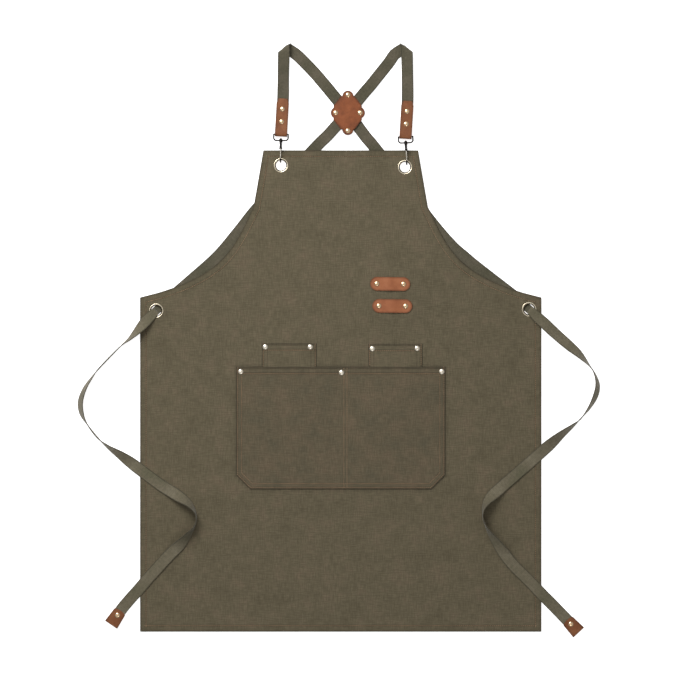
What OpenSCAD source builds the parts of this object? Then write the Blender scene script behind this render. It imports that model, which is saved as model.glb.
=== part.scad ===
// Cross-back bib apron, laid flat on its back. X runs across it, Y up towards the straps, Z off the floor.
// Every size is in millimetres, and z = 0 is the surface that it lies on.

/* [Canvas] */
// Half the width of the skirt
skirt_half = 341; // [335:1:345]
// Half the width of the bib at its top edge
bib_half = 131.5; // [128:0.5:134]
// Bib's top edge
bib_top = 318; // [316:1:320]
// Skirt's bottom edge
hem_bottom = -500; // [-510:1:-495]
// Thickness of one layer of canvas
cloth_t = 1; // [0.8:0.1:1.1]
// Width of the turned hem
hem_w = 12; // [10:1:12]
// Height of the bib's underside where it lies over the straps and hooks
bib_z = 4.3; // [4.2:0.1:4.6]

/* [Pockets] */
// Half the width of the main pocket
pocket_half = 178; // [174:1:182]
// Main pocket's top edge
pocket_top = -50; // [-54:1:-48]
// Main pocket's bottom edge
pocket_bottom = -258; // [-270:1:-250]
// Cut across the main pocket's lower corners
pocket_corner = 24; // [16:1:30]
// Height of a tool pocket
tool_h = 142; // [130:1:160]

/* [Webbing] */
// Width of the webbing
web_w = 20; // [19:0.5:20]
// Thickness of the webbing
web_t = 1.6; // [1.2:0.1:1.6]

/* [Leather] */
// Thickness of the strap tabs and tie ends
leather_t = 1.4; // [1.2:0.1:1.4]
// Length of a strap tab above the loop's bar
tab_len = 61; // [58:1:64]
// Width of a strap tab
tab_w = 21; // [20.5:0.5:21.5]
// Length of a tool loop on the bib
tool_loop_len = 68; // [64:1:72]
// Width of a tool loop on the bib
tool_loop_w = 23.5; // [22:0.5:25]

/* [Metal] */
// Inner radius of an eyelet
eyelet_r = 8.75; // [8.7:0.05:9]
// Outer radius of an eyelet
eyelet_rim_r = 12.25; // [12:0.05:12.5]
// Radius of a rivet cap
cap_r = 4.4; // [4:0.1:4.6]
// Wire radius of the loops and hooks
wire_r = 1.2; // [1.1:0.05:1.2]
// Outside width of a hook loop
loop_w = 27; // [26:0.5:28]
// Height of the hooks' long axis
hook_z = 6.4; // [6.4:0.1:6.6]

/* [Hidden] */
$fn = 48;

canvas_colour = "#615A46";
webbing_colour = "#62614D";
leather_colour = "#9A5A3A";
brass_colour = "#D8C49A";
nickel_colour = "#3A3836";

// Levels, counted from the floor
skirt_z = cloth_t;
skirt_top = skirt_z + cloth_t;
bib_face = bib_z + cloth_t;
ramp_low_y = -8;
ramp_high_y = 25;
rim_t = 0.6;

// Places on the cloth
top_eyelets = [[-101.4, 292.4], [109.1, 289.5]];
side_eyelets = [[-313.4, 45.6], [320, 47.9]];
main_rivets = [[-170, -58], [1.3, -59.7], [171.8, -58]];
tool_rivets = [[-128.3, -16], [-51.9, -16], [53.6, -19], [130, -18.5]];
tool_loops = [[84, 91, -0.8], [87.5, 53.5, -0.8]];
tool_loop_rivet_x = 22.7;
patch_at = [11.8, 381.7];
patch_rivet_at = [[-20.4, 0], [21.4, 0], [0.5, 30.5], [0.5, -30.6]];
rivet_hole_r = 1.6;
post_r = 1.55;
cap_h = 1.6;
back_h = 0.8;

// Hooks: the loop's bar on each side, and how far the hardware leans in plan
bars = [[-101.5, 345], [110, 341]];
bar_turn = [-1, 2.5];
tab_turn = [-3.2, -3.4];
loop_len = 10.5;
loop_corner_r = 4.6;
boss_r = 2.9;
boss_len = 3.8;
pin_r = 1.5;
pin_gap = 0.08;
limb_r = 5.2;
nose_y = -42.1;
heel_y = -24.8;
hub_y = -23.8;
hub_r = 1.7;
gate_pin_r = 0.8;
cheek_x = 2.2;
gate_x = 1.05;
gate_gap = 0.2;

// Rivets of the leather tabs and of the tie ends, measured along the piece
tab_rivet_y = [21.6, 43];
tie_end_at = [[-374, -464, -124], [384.6, -480, -47]];
tie_end_len = 29;
tie_end_w = [22, 25];
tie_end_z = 3;
tie_rivet_s = 9.5;

// Routes of the webbing: x, y, z, roll and share of the full width at each point. The first and last
// points only set the direction there. Positive roll lifts the right-hand edge, seen along the route.
left_strap_route = [
    [-101, 352, 6.4, 0, 1], [-100.6, 358, 6.4, 0, 1], [-98.4, 398, 6.4, 0, 1], [-97.9, 409, 6.4, 0, 1],
    [-97.7, 418, 6.7, -4, 1], [-97.5, 434, 8.2, -16, 1], [-97.2, 455, 10, -16, 1],
    [-96.8, 475, 12, -8, 1], [-96.6, 487, 12.95, 0, 1],
    [-96.4, 491.8, 11.2, 21, 1], [-95.2, 494.2, 6.95, 90, 1], [-92.7, 493.4, 2.7, 159, 1],
    [-89.2, 490.3, 0.95, 180, 1], [-75.5, 481, 0.95, 180, 1], [-60.5, 466.5, 0.95, 180, 1],
    [-42.9, 448, 1, 180, 1], [-25.9, 428, 2.2, 180, 1], [-14, 413.5, 2.85, 180, 1],
    [11.8, 382, 2.85, 180, 1], [33, 353.5, 2.85, 180, 1], [44, 339, 2.1, 180, 1],
    [58, 322.5, 1.1, 180, 1], [100, 268, 0.95, 180, 1], [151.7, 200, 0.95, 180, 1],
    [187.4, 159, 0.95, 180, 1], [235, 118.2, 0.95, 180, 1], [300, 66, 0.95, 180, 1],
    [309.6, 57, 0.95, 180, 1], [314, 53.3, 1.2, 180, 0.85], [317.1, 50.6, 2.3, 180, 0.72],
    [320, 47.9, 4.8, 180, 0.7], [322.9, 45.1, 7.4, 180, 0.72]];
right_strap_route = [
    [110.4, 348, 6.4, 0, 1], [110.8, 354, 6.4, 0, 1], [113, 393, 6.4, 0, 1], [113.5, 404, 6.4, 0, 1],
    [113.6, 414, 6.7, 4, 1], [113.4, 434, 8.3, 14, 1], [113, 455, 10, 14, 1],
    [112.6, 475, 12, 7, 1], [112.4, 486.9, 12.95, 0, 1],
    [112.2, 491.6, 11.2, -21, 1], [111, 494, 6.95, -90, 1], [108.5, 493.2, 2.7, -159, 1],
    [105, 490.1, 0.95, -180, 1], [91.5, 481, 0.95, -180, 1], [82, 467.5, 0.95, -180, 1],
    [66.5, 448, 1.3, -180, 1], [50.6, 428, 3.6, -180, 1], [38.5, 414, 4.6, -180, 1],
    [11.8, 381.5, 4.6, -180, 1], [-12.5, 354, 4.6, -180, 1], [-24, 341.5, 3.4, -180, 1],
    [-40.5, 325.5, 1.3, -180, 1], [-88, 275, 0.95, -180, 1], [-141.5, 220, 0.95, -180, 1],
    [-175.2, 179.4, 0.95, -180, 1], [-210.4, 138.6, 0.95, -180, 1], [-253.7, 97.8, 0.95, -180, 1],
    [-296, 61.5, 0.95, -180, 1], [-303.4, 55.2, 0.95, -180, 1], [-307.6, 51.2, 1.2, -180, 0.85],
    [-310.6, 48.4, 2.3, -180, 0.72], [-313.4, 45.6, 4.8, -180, 0.7], [-316.2, 42.8, 7.4, -180, 0.72]];
left_tie_route = [
    [-310.6, 48.4, 2.3, 0, 0.72], [-313.4, 45.6, 4.8, 0, 0.7], [-316.2, 42.8, 7.4, 0, 0.72],
    [-320.6, 38.4, 7.3, 0, 0.82], [-325.6, 33.4, 7.6, -6, 0.88], [-333, 25.3, 9, -18, 0.94],
    [-342, 15, 9.9, -42, 1],
    [-358, -1.7, 9.9, -72, 1], [-375, -16, 10.1, -88, 1], [-409, -51, 10.1, -90, 1],
    [-421, -66, 10.1, -82, 1], [-434, -86, 10, -70, 1], [-441.6, -108, 9.4, -62, 1],
    [-440, -128, 9.6, -66, 1], [-430.5, -147, 10.1, -85, 1], [-412.7, -170, 10.1, -90, 1],
    [-395, -185.5, 9.9, -72, 1], [-375, -199, 7.9, -45, 1], [-358, -211.5, 4.6, -18, 1],
    [-341, -224.5, 3.2, 0, 1], [-307, -250, 3, 0, 1], [-290, -260.5, 3.3, 3, 1],
    [-273, -271, 7.2, 26, 1], [-257, -283, 11.3, 60, 1], [-247, -297, 12.2, 85, 1],
    [-245, -309, 12.2, 90, 1], [-249.5, -322, 12.2, 85, 1], [-260, -336.5, 11.1, 58, 1],
    [-273, -352, 7.2, 26, 1], [-289, -367.5, 3.4, 3, 1], [-324, -405.5, 3, 0, 1],
    [-341, -425.5, 3.2, 0, 1], [-358, -444.5, 3, 0, 1], [-372, -461.3, 3, 0, 1],
    [-384.7, -480, 3, 0, 1], [-388, -485, 3, 0, 1]];
right_tie_route = [
    [317.1, 50.6, 2.3, 0, 0.72], [320, 47.9, 4.8, 0, 0.7], [322.9, 45.1, 7.4, 0, 0.72],
    [327.4, 40.8, 7.3, 0, 0.82], [332.4, 36.2, 7.4, 3, 0.88], [345, 25, 8.4, 12, 0.96],
    [356, 14.5, 7.2, 20, 1], [372.7, -0.5, 6.4, 26, 1], [390, -15.5, 7, 34, 1],
    [406, -29.5, 9, 54, 1], [424, -50, 10.1, 86, 1], [432, -64, 10.1, 80, 1],
    [436, -81, 9.6, 66, 1], [432.5, -99, 9.4, 62, 1], [422, -119, 9.9, 74, 1],
    [407, -138, 10.1, 88, 1], [394.8, -149, 9.9, 74, 1], [374, -165.5, 8.4, 48, 1],
    [348, -188.5, 4.5, 8, 1], [321.7, -212, 3, 0, 1], [287.7, -241.5, 3, 0, 1],
    [271, -256, 3.6, -4, 1], [257, -268.6, 7.2, -26, 1], [246.5, -281, 11.3, -60, 1],
    [241.5, -295, 12.2, -86, 1], [241.5, -308, 12.2, -90, 1], [247, -321.5, 12.2, -85, 1],
    [255.5, -335.5, 11.6, -64, 1], [265.5, -350, 9.6, -42, 1], [281, -371.5, 5, -12, 1],
    [296, -389.5, 3, 0, 1], [325, -418.5, 3, 0, 1], [341, -435.5, 3.2, 0, 1],
    [357, -451.5, 3, 0, 1], [382.6, -477.9, 3, 0, 1], [395.5, -491.7, 3, 0, 1], [399, -495.5, 3, 0, 1]];
strap_steps = 4;
tie_steps = 1;

// ---- Curves, ribbons and outlines -------------------------------------------------------------

function bezier(a, b, c, d, t) =
    pow(1 - t, 3) * a + 3 * pow(1 - t, 2) * t * b + 3 * (1 - t) * t * t * c + t * t * t * d;

// Place and direction on the smooth curve through b and c, a share t of the way
function on_curve(a, b, c, d, t) =
    0.5 * (2 * b + (c - a) * t + (2 * a - 5 * b + 4 * c - d) * t * t
        + (3 * b - 3 * c + d - a) * t * t * t);
function along_curve(a, b, c, d, t) =
    0.5 * ((c - a) + 2 * (2 * a - 5 * b + 4 * c - d) * t + 3 * (3 * b - 3 * c + d - a) * t * t);

function unit(v) = v / norm(v);
function place(row) = [row[0], row[1], row[2]];

// The eight corners of the webbing's section where it passes a point of its route
function section(row, way) =
    let (
        t = unit(place(way)),
        side = unit([-t.y, t.x, 0]),
        up = cross(t, side),
        face = cos(row[3]) * up + sin(row[3]) * side,
        across = cross(t, face),
        w = row[4] * web_w / 2,
        h = web_t / 2,
        e = 0.5
    )
    [for (c = [[w, h / 2], [w - e, h], [e - w, h], [-w, h / 2],
               [-w, -h / 2], [e - w, -h], [w - e, -h], [w, -h / 2]])
        place(row) + c[0] * across + c[1] * face];

function sections(route, steps) =
    let (n = len(route))
    [for (i = [1:n - 3]) for (j = [0:steps - 1])
        let (a = route[i - 1], b = route[i], c = route[i + 1], d = route[i + 2], t = j / steps)
        section(on_curve(a, b, c, d, t), along_curve(a, b, c, d, t)),
     section(route[n - 2], (route[n - 1] - route[n - 3]) / 2)];

module skin(rings) {
    n = len(rings);
    m = len(rings[0]);
    polyhedron(
        [for (r = rings) for (p = r) p],
        [for (i = [0:n - 2]) for (j = [0:m - 1])
            let (k = (j + 1) % m)
            each [[i * m + j, i * m + k, (i + 1) * m + j], [i * m + k, (i + 1) * m + k, (i + 1) * m + j]],
         [for (j = [m - 1:-1:0]) j],
         [for (j = [0:m - 1]) (n - 1) * m + j]]);
}

module webbing(route, steps) {
    color(webbing_colour) skin(sections(route, steps));
}

// A closed outline moved inwards by d, its corners kept sharp
function inset(points, d) =
    let (n = len(points))
    [for (i = [0:n - 1])
        let (
            a = unit(points[i] - points[(i + n - 1) % n]),
            b = unit(points[(i + 1) % n] - points[i]),
            na = [-a.y, a.x],
            nb = [-b.y, b.x]
        )
        points[i] + d * (na + nb) / (1 + na * nb)];

// Right-hand edge of the panel from the bottom corner up to the bib, then its mirror image
armhole = [for (i = [0:10]) bezier([310, 76], [197, 110], [182, 150], [148, 222], i / 10)];
right_edge = concat([[skirt_half, hem_bottom], [skirt_half, 68]], armhole, [[bib_half, bib_top]]);
function mirrored(points) = [for (i = [len(points) - 1:-1:0]) [-points[i].x, points[i].y]];
panel_outline = concat(right_edge, mirrored(right_edge));

function pocket_outline(half, top, bottom, corner) = [
    [half, top], [-half, top], [-half, bottom + corner], [corner - half, bottom],
    [half - corner, bottom], [half, bottom + corner]];

// ---- Canvas -----------------------------------------------------------------------------------

// A layer that follows the lie of the panel, from under its underside by drop
module lie(drop, t) {
    low = skirt_z - drop;
    high = bib_z - drop;
    rotate([90, 0, 90]) linear_extrude(2 * skirt_half + 2, center = true) polygon([
        [hem_bottom - 1, low], [ramp_low_y, low], [ramp_high_y, high], [bib_top + 1, high],
        [bib_top + 1, high + t], [ramp_high_y, high + t], [ramp_low_y, low + t], [hem_bottom - 1, low + t]]);
}

module upright(outline) {
    translate([0, 0, -1]) linear_extrude(bib_face + 2) polygon(outline);
}

module drill(places, r) {
    for (p = places) translate([p.x, p.y, -1]) cylinder(h = 12, r = r);
}

module canvas_panel() {
    color(canvas_colour) difference() {
        union() {
            intersection() { upright(panel_outline); lie(0, cloth_t); }
            difference() {
                intersection() { upright(panel_outline); lie(cloth_t, cloth_t); }
                upright(inset(panel_outline, hem_w));
            }
        }
        drill(concat(top_eyelets, side_eyelets), eyelet_r + rim_t + 0.05);
        for (p = side_eyelets) translate([p.x, p.y, 0]) cylinder(h = bib_z, r = eyelet_rim_r);
        drill(concat(main_rivets, tool_rivets), rivet_hole_r);
        for (l = tool_loops) translate([l.x, l.y]) rotate(l.z)
            drill([[-tool_loop_rivet_x, 0], [tool_loop_rivet_x, 0]], rivet_hole_r);
    }
}

// A patch pocket: a flat margin sewn down all round but the top, and a raised face open at the top.
// The divider is a strip, from x for its width, where the face is sewn down as well.
module pocket(half, top, bottom, corner, margin, rise, divider) {
    wall = margin - cloth_t;
    difference() {
        union() {
            linear_extrude(cloth_t) polygon(pocket_outline(half, top, bottom, corner));
            linear_extrude(rise + cloth_t) polygon(pocket_outline(half - wall, top, bottom + wall, corner));
        }
        difference() {
            translate([0, 0, -1]) linear_extrude(rise + 1)
                polygon(pocket_outline(half - margin, top + 1, bottom + margin, corner));
            translate([divider.x, bottom, -2]) cube([divider.y, top - bottom + 2, rise + 4]);
        }
        translate([divider.x + cloth_t, bottom - 1, cloth_t])
            cube([divider.y - 2 * cloth_t, top - bottom + 2, rise + 1]);
    }
}

module main_pocket() {
    color(canvas_colour) difference() {
        translate([0, 0, skirt_top]) pocket(pocket_half, pocket_top, pocket_bottom, pocket_corner,
            14, 2.4, [-6, 20]);
        drill(main_rivets, rivet_hole_r);
    }
}

module tool_pocket(x0, x1, top) {
    color(canvas_colour) difference() {
        translate([(x0 + x1) / 2, 0, skirt_top])
            pocket((x1 - x0) / 2, top, top - tool_h, 8, 17, 1, [500, 3]);
        drill(tool_rivets, rivet_hole_r);
    }
}

module left_tool_pocket() { tool_pocket(-134, -41, -10); }
module right_tool_pocket() { tool_pocket(46.8, 139, -11); }

// ---- Rivets and eyelets -----------------------------------------------------------------------

// A domed cap with its post, from z down to the face of its back
module rivet(z, depth) {
    color(brass_colour) {
        translate([0, 0, z]) rotate_extrude() intersection() {
            translate([0, -6.8]) circle(r = 6.8 + cap_h);
            square([cap_r, cap_h]);
        }
        translate([0, 0, z - depth]) cylinder(h = depth + 0.4, r = post_r);
    }
}

module rivet_back(z) {
    color(brass_colour) translate([0, 0, z - back_h]) difference() {
        cylinder(h = back_h, r = cap_r - 0.4);
        translate([0, 0, -0.4]) cylinder(h = 0.7, r = 2.4);
    }
}

module at(places) {
    for (p = places) translate([p.x, p.y, 0]) children();
}

module main_pocket_rivets() { at(main_rivets) rivet(skirt_top + cloth_t, 2 * cloth_t); }
module tool_pocket_rivets() { at(tool_rivets) rivet(skirt_top + cloth_t, 2 * cloth_t); }
module pocket_rivet_backs() { at(concat(main_rivets, tool_rivets)) rivet_back(skirt_z); }

module eyelet(p) {
    color(brass_colour) translate([p.x, p.y, 0]) rotate_extrude() {
        translate([eyelet_r, bib_z - rim_t]) square([rim_t, cloth_t + rim_t]);
        translate([eyelet_r + rim_t / 2, bib_face]) square([eyelet_rim_r - eyelet_r - rim_t, rim_t]);
        translate([eyelet_r + rim_t / 2, bib_face + rim_t / 2]) circle(r = rim_t / 2);
        translate([eyelet_rim_r - rim_t / 2, bib_face + rim_t / 2]) circle(r = rim_t / 2);
    }
}

module washer(p) {
    color(brass_colour) translate([p.x, p.y, bib_z - rim_t]) difference() {
        cylinder(h = rim_t, r = eyelet_rim_r - 0.25);
        translate([0, 0, -1]) cylinder(h = rim_t + 2, r = eyelet_r + rim_t + 0.02);
    }
}

module left_top_eyelet() { eyelet(top_eyelets[0]); }
module right_top_eyelet() { eyelet(top_eyelets[1]); }
module left_side_eyelet() { eyelet(side_eyelets[0]); }
module right_side_eyelet() { eyelet(side_eyelets[1]); }
module left_top_washer() { washer(top_eyelets[0]); }
module right_top_washer() { washer(top_eyelets[1]); }
module left_side_washer() { washer(side_eyelets[0]); }
module right_side_washer() { washer(side_eyelets[1]); }

// ---- Leather ----------------------------------------------------------------------------------

tool_loop_t = 1.8;
tool_loop_arch = 1.2;
arch_half = 15;

// A round-ended strip riveted down at both ends, its middle standing slightly proud
module tool_loop(l) {
    under = [for (x = [-arch_half:2.5:arch_half]) [x, tool_loop_arch * pow(cos(90 * x / arch_half), 2)]];
    over = [for (i = [len(under) - 1:-1:0]) under[i] + [0, tool_loop_t]];
    half = tool_loop_len / 2;
    color(leather_colour) translate([l.x, l.y, bib_face]) rotate(l.z) difference() {
        intersection() {
            rotate([90, 0, 0]) linear_extrude(tool_loop_w, center = true) polygon(concat(
                [[-half, 0]], under, [[half, 0], [half, tool_loop_t]], over, [[-half, tool_loop_t]]));
            translate([0, 0, -1]) linear_extrude(6) {
                square([tool_loop_len - tool_loop_w, tool_loop_w], center = true);
                for (s = [-1, 1])
                    translate([s * (tool_loop_len - tool_loop_w) / 2, 0]) circle(d = tool_loop_w);
            }
        }
        drill([[-tool_loop_rivet_x, 0], [tool_loop_rivet_x, 0]], rivet_hole_r);
    }
}

module at_tool_loops() {
    for (l = tool_loops) translate([l.x, l.y, 0]) rotate(l.z)
        at([[-tool_loop_rivet_x, 0], [tool_loop_rivet_x, 0]]) children();
}

module upper_tool_loop() { tool_loop(tool_loops[0]); }
module lower_tool_loop() { tool_loop(tool_loops[1]); }
module tool_loop_rivets() { at_tool_loops() rivet(bib_face + tool_loop_t, tool_loop_t + cloth_t); }
module tool_loop_rivet_backs() { at_tool_loops() rivet_back(bib_z); }

// Four lobes, with a notch between each two where a strap comes out
lobe_r = 9.5;
lobe_at = [[-19.2, 0], [19.8, 0], [0.4, 28], [0.4, -28.2]];
patch_core = [[-24, 12], [-11.5, 28.2], [11.5, 28.2], [24, 12],
    [24, -12], [11.5, -28.6], [-11.5, -28.6], [-24, -12]];
patch_t = 1.6;
patch_front_z = 5.5;

module patch(z, t) {
    color(leather_colour) translate([patch_at.x, patch_at.y, z]) difference() {
        union() {
            linear_extrude(t) polygon(patch_core);
            for (p = lobe_at) translate(p) cylinder(h = t, r = lobe_r);
        }
        drill(patch_rivet_at, rivet_hole_r);
    }
}

module patch_front() { patch(patch_front_z, patch_t); }
module patch_back() { patch(back_h, 1.1); }
module patch_rivets() {
    translate([patch_at.x, patch_at.y, 0]) at(patch_rivet_at)
        rivet(patch_front_z + patch_t, patch_front_z + patch_t - back_h);
}
module patch_rivet_backs() { translate([patch_at.x, patch_at.y, 0]) at(patch_rivet_at) rivet_back(back_h); }

// A tab goes up one face of the webbing's end, round the loop's bar and down the other face
bar_bend_r = wire_r + 1.2;
tab_skin = web_t / 2 + leather_t;

// The tab's long section, filled: gap is how far it stands off the webbing and the bar's bend
module tab_section(gap, reach) {
    bend_r = bar_bend_r + gap;
    flat = web_t / 2 + gap;
    rotate([90, 0, 90]) linear_extrude(tab_w + 2, center = true)
        polygon([[0, bend_r], [4, bend_r], [13, flat], [reach, flat],
            [reach, -flat], [13, -flat], [4, -bend_r], [0, -bend_r]]);
    rotate([0, 90, 0]) cylinder(h = tab_w + 2, r = bend_r, center = true);
}

module at_tab(side) {
    translate([bars[side].x, bars[side].y, 0]) rotate(tab_turn[side]) children();
}

module strap_tab(side) {
    half = tab_w / 2;
    end = tab_len - 0.1;
    color(leather_colour) at_tab(side) translate([0, 0, hook_z]) difference() {
        intersection() {
            difference() {
                tab_section(leather_t, tab_len);
                tab_section(0.12, tab_len + 1);
            }
            translate([0, 0, -10]) linear_extrude(20) polygon([
                [-half, -10], [half, -10], [half, end - 8], [half - 2.5, end],
                [2.5 - half, end], [-half, end - 8]]);
        }
        for (y = tab_rivet_y) translate([0, y, -10]) cylinder(h = 20, r = rivet_hole_r);
    }
}

module at_tab_rivets(side) {
    at_tab(side) for (y = tab_rivet_y) translate([0, y, 0]) children();
}

module left_strap_tab() { strap_tab(0); }
module right_strap_tab() { strap_tab(1); }
module left_tab_rivets() { at_tab_rivets(0) rivet(hook_z + tab_skin, 2 * tab_skin); }
module right_tab_rivets() { at_tab_rivets(1) rivet(hook_z + tab_skin, 2 * tab_skin); }
module left_tab_rivet_backs() { at_tab_rivets(0) rivet_back(hook_z - tab_skin); }
module right_tab_rivet_backs() { at_tab_rivets(1) rivet_back(hook_z - tab_skin); }

// A tie end: leather folded at its wide far edge over the webbing's end
module tie_end(side) {
    p = tie_end_at[side];
    n = tie_end_w[0] / 2;
    w = tie_end_w[1] / 2;
    color(leather_colour) translate([p.x, p.y, tie_end_z]) rotate(p.z) difference() {
        translate([0, 0, -tab_skin]) linear_extrude(2 * tab_skin) polygon(concat(
            [[tie_end_len, w], [5, n]],
            [for (a = [100:20:260]) [4 + 4 * cos(a), n * sin(a)]],
            [[5, -n], [tie_end_len, -w]]));
        translate([-5, -web_w / 2 - 0.2, -web_t / 2 - 0.05]) cube([5 + 24, web_w + 0.4, web_t + 0.1]);
        translate([tie_rivet_s, 0, -10]) cylinder(h = 20, r = rivet_hole_r);
    }
}

module tie_end_rivet(side) {
    p = tie_end_at[side];
    translate([p.x, p.y, 0]) rotate(p.z) translate([tie_rivet_s, 0, 0]) {
        rivet(tie_end_z + tab_skin, 2 * tab_skin);
        rivet_back(tie_end_z - tab_skin);
    }
}

module left_tie_end() { tie_end(0); }
module right_tie_end() { tie_end(1); }
module left_tie_end_rivet() { tie_end_rivet(0); }
module right_tie_end_rivet() { tie_end_rivet(1); }

// ---- Webbing ----------------------------------------------------------------------------------

module strap(route, side) {
    difference() {
        webbing(route, strap_steps);
        at_tab_rivets(side) cylinder(h = 20, r = rivet_hole_r);
    }
}

module tie(route, side) {
    p = tie_end_at[side];
    difference() {
        webbing(route, tie_steps);
        translate([p.x, p.y, 0]) rotate(p.z) translate([tie_rivet_s, 0, 0])
            cylinder(h = 20, r = rivet_hole_r);
    }
}

module left_shoulder_strap() { strap(left_strap_route, 0); }
module right_shoulder_strap() { strap(right_strap_route, 1); }
module left_waist_tie() { tie(left_tie_route, 0); }
module right_waist_tie() { tie(right_tie_route, 1); }

// ---- Hooks ------------------------------------------------------------------------------------

// Local frame of a hook: its bar along X at the origin, the hook hanging towards -Y
module hardware(side) {
    translate([bars[side].x, bars[side].y, hook_z]) rotate(bar_turn[side]) children();
}

module rod_x(len, r) { rotate([0, 90, 0]) cylinder(h = len, r = r, center = true); }
module rod_y(y0, y1, r) { translate([0, y1, 0]) rotate([90, 0, 0]) cylinder(h = y1 - y0, r = r); }

// Part of a ring of wire, in the plane of X and Y, from angle a through sweep
module bend(r, a, sweep) {
    rotate(a) rotate_extrude(angle = sweep) translate([r, 0]) circle(r = wire_r);
}

module hook_loop() {
    half = loop_w / 2 - wire_r;
    low = -loop_len;
    color(nickel_colour) difference() {
        union() {
            rod_x(2 * half, wire_r);
            for (s = [-1, 1]) {
                translate([s * half, 0, 0]) sphere(r = wire_r);
                translate([s * half, 0, 0]) rod_y(low + loop_corner_r, 0, wire_r);
            }
            translate([half - loop_corner_r, low + loop_corner_r, 0]) bend(loop_corner_r, -90, 90);
            translate([loop_corner_r - half, low + loop_corner_r, 0]) bend(loop_corner_r, 180, 90);
            translate([0, low, 0]) rod_x(2 * (half - loop_corner_r), wire_r);
            rod_y(low - boss_len / 2, low + boss_len / 2, boss_r);
        }
        rod_y(low - 10, low + 5, pin_r + pin_gap);
    }
}

// The swivel head, its pin through the loop's boss, the stem, and the bow around the throat
module snap_hook() {
    low = -loop_len;
    color(nickel_colour) difference() {
        union() {
            translate([0, low + boss_len / 2 + 0.1, 0]) rotate([-90, 0, 0])
                cylinder(h = 2, r1 = 2.5, r2 = 0.9);
            rod_y(low - boss_len / 2 - 1, low + boss_len / 2 + 0.5, pin_r);
            rod_y(low - boss_len / 2 - 1.1, low - boss_len / 2 - 0.1, 2.6);
            rod_y(heel_y + limb_r - 1, low - boss_len / 2 - 0.6, 2);
            rotate([0, 90, 0]) bow();
            translate([-cheek_x, hub_y - 2, limb_r - 2]) cube([2 * cheek_x, 5, 4]);
        }
        translate([0, hub_y, limb_r]) {
            rod_x(2 * gate_x + 0.3, hub_r + 0.25);
            translate([-gate_x - 0.15, -5, -hub_r - 3]) cube([2 * gate_x + 0.3, 5, 2 * hub_r + 6]);
            rod_x(10, gate_pin_r);
        }
    }
}

// The bow lies in the hook's upright plane. Here its X is the hook's -Z.
module bow() {
    translate([limb_r, 0, 0]) rod_y(nose_y, heel_y, wire_r);
    translate([0, nose_y, 0]) bend(limb_r, 180, 180);
    translate([-limb_r, 0, 0]) rod_y(nose_y, nose_y + 1.2, wire_r);
    translate([0, heel_y, 0]) bend(limb_r, 0, 150);
}

// The gate is drawn at rest, closing the throat between the hub and the nose
module hook_gate() {
    tip = nose_y + 1.2 + gate_gap;
    color("#B9B4A8") translate([0, hub_y, limb_r]) difference() {
        union() {
            rod_x(2 * gate_x, hub_r);
            rod_y(tip - hub_y, 0, wire_r - 0.15);
        }
        rod_x(10, gate_pin_r + 0.05);
        translate([gate_x - 0.75, -2.2, -2.2]) cube([3, 4.4, 4.4]);
    }
}

module gate_pin() {
    color(nickel_colour) translate([0, hub_y, limb_r]) rod_x(2 * cheek_x + 0.4, gate_pin_r);
}

// Two turns of fine wire round the pin, between the gate's hub and a cheek
spring_wire_r = 0.13;
spring_r = 1.1;
spring_turns = 2;

module gate_spring() {
    color(nickel_colour) translate([gate_x - 0.6, hub_y, limb_r]) skin(
        [for (a = [0:30:360 * spring_turns])
            [for (b = [0:60:300]) let (r = spring_r + spring_wire_r * cos(b))
                [spring_wire_r * sin(b) + 0.3 * a / 360, r * cos(a), r * sin(a)]]]);
}

module left_hook_loop() { hardware(0) hook_loop(); }
module right_hook_loop() { hardware(1) hook_loop(); }
module left_snap_hook() { hardware(0) snap_hook(); }
module right_snap_hook() { hardware(1) snap_hook(); }
module left_hook_gate() { hardware(0) hook_gate(); }
module right_hook_gate() { hardware(1) hook_gate(); }
module left_gate_pin() { hardware(0) gate_pin(); }
module right_gate_pin() { hardware(1) gate_pin(); }
module left_gate_spring() { hardware(0) gate_spring(); }
module right_gate_spring() { hardware(1) gate_spring(); }

canvas_panel();
main_pocket();
left_tool_pocket();
right_tool_pocket();
main_pocket_rivets();
tool_pocket_rivets();
pocket_rivet_backs();
upper_tool_loop();
lower_tool_loop();
tool_loop_rivets();
tool_loop_rivet_backs();
left_top_eyelet();
right_top_eyelet();
left_side_eyelet();
right_side_eyelet();
left_top_washer();
right_top_washer();
left_side_washer();
right_side_washer();
left_shoulder_strap();
right_shoulder_strap();
left_waist_tie();
right_waist_tie();
patch_front();
patch_back();
patch_rivets();
patch_rivet_backs();
left_strap_tab();
right_strap_tab();
left_tab_rivets();
right_tab_rivets();
left_tab_rivet_backs();
right_tab_rivet_backs();
left_hook_loop();
right_hook_loop();
left_snap_hook();
right_snap_hook();
left_hook_gate();
right_hook_gate();
left_gate_pin();
right_gate_pin();
left_gate_spring();
right_gate_spring();
left_tie_end();
right_tie_end();
left_tie_end_rivet();
right_tie_end_rivet();
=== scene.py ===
# %% [markdown]
# # A cross-back bib apron, laid flat
#
# The apron is a sheet of heavy cotton canvas with stitched hems, patch pockets, leather fittings, brass
# rivets and two lengths of cotton webbing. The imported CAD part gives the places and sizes, and this lesson
# gives each piece its cloth, leather or metal. Lengths below are in millimetres, and `mm` turns them into
# Blender's metres.

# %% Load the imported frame
import math

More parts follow.
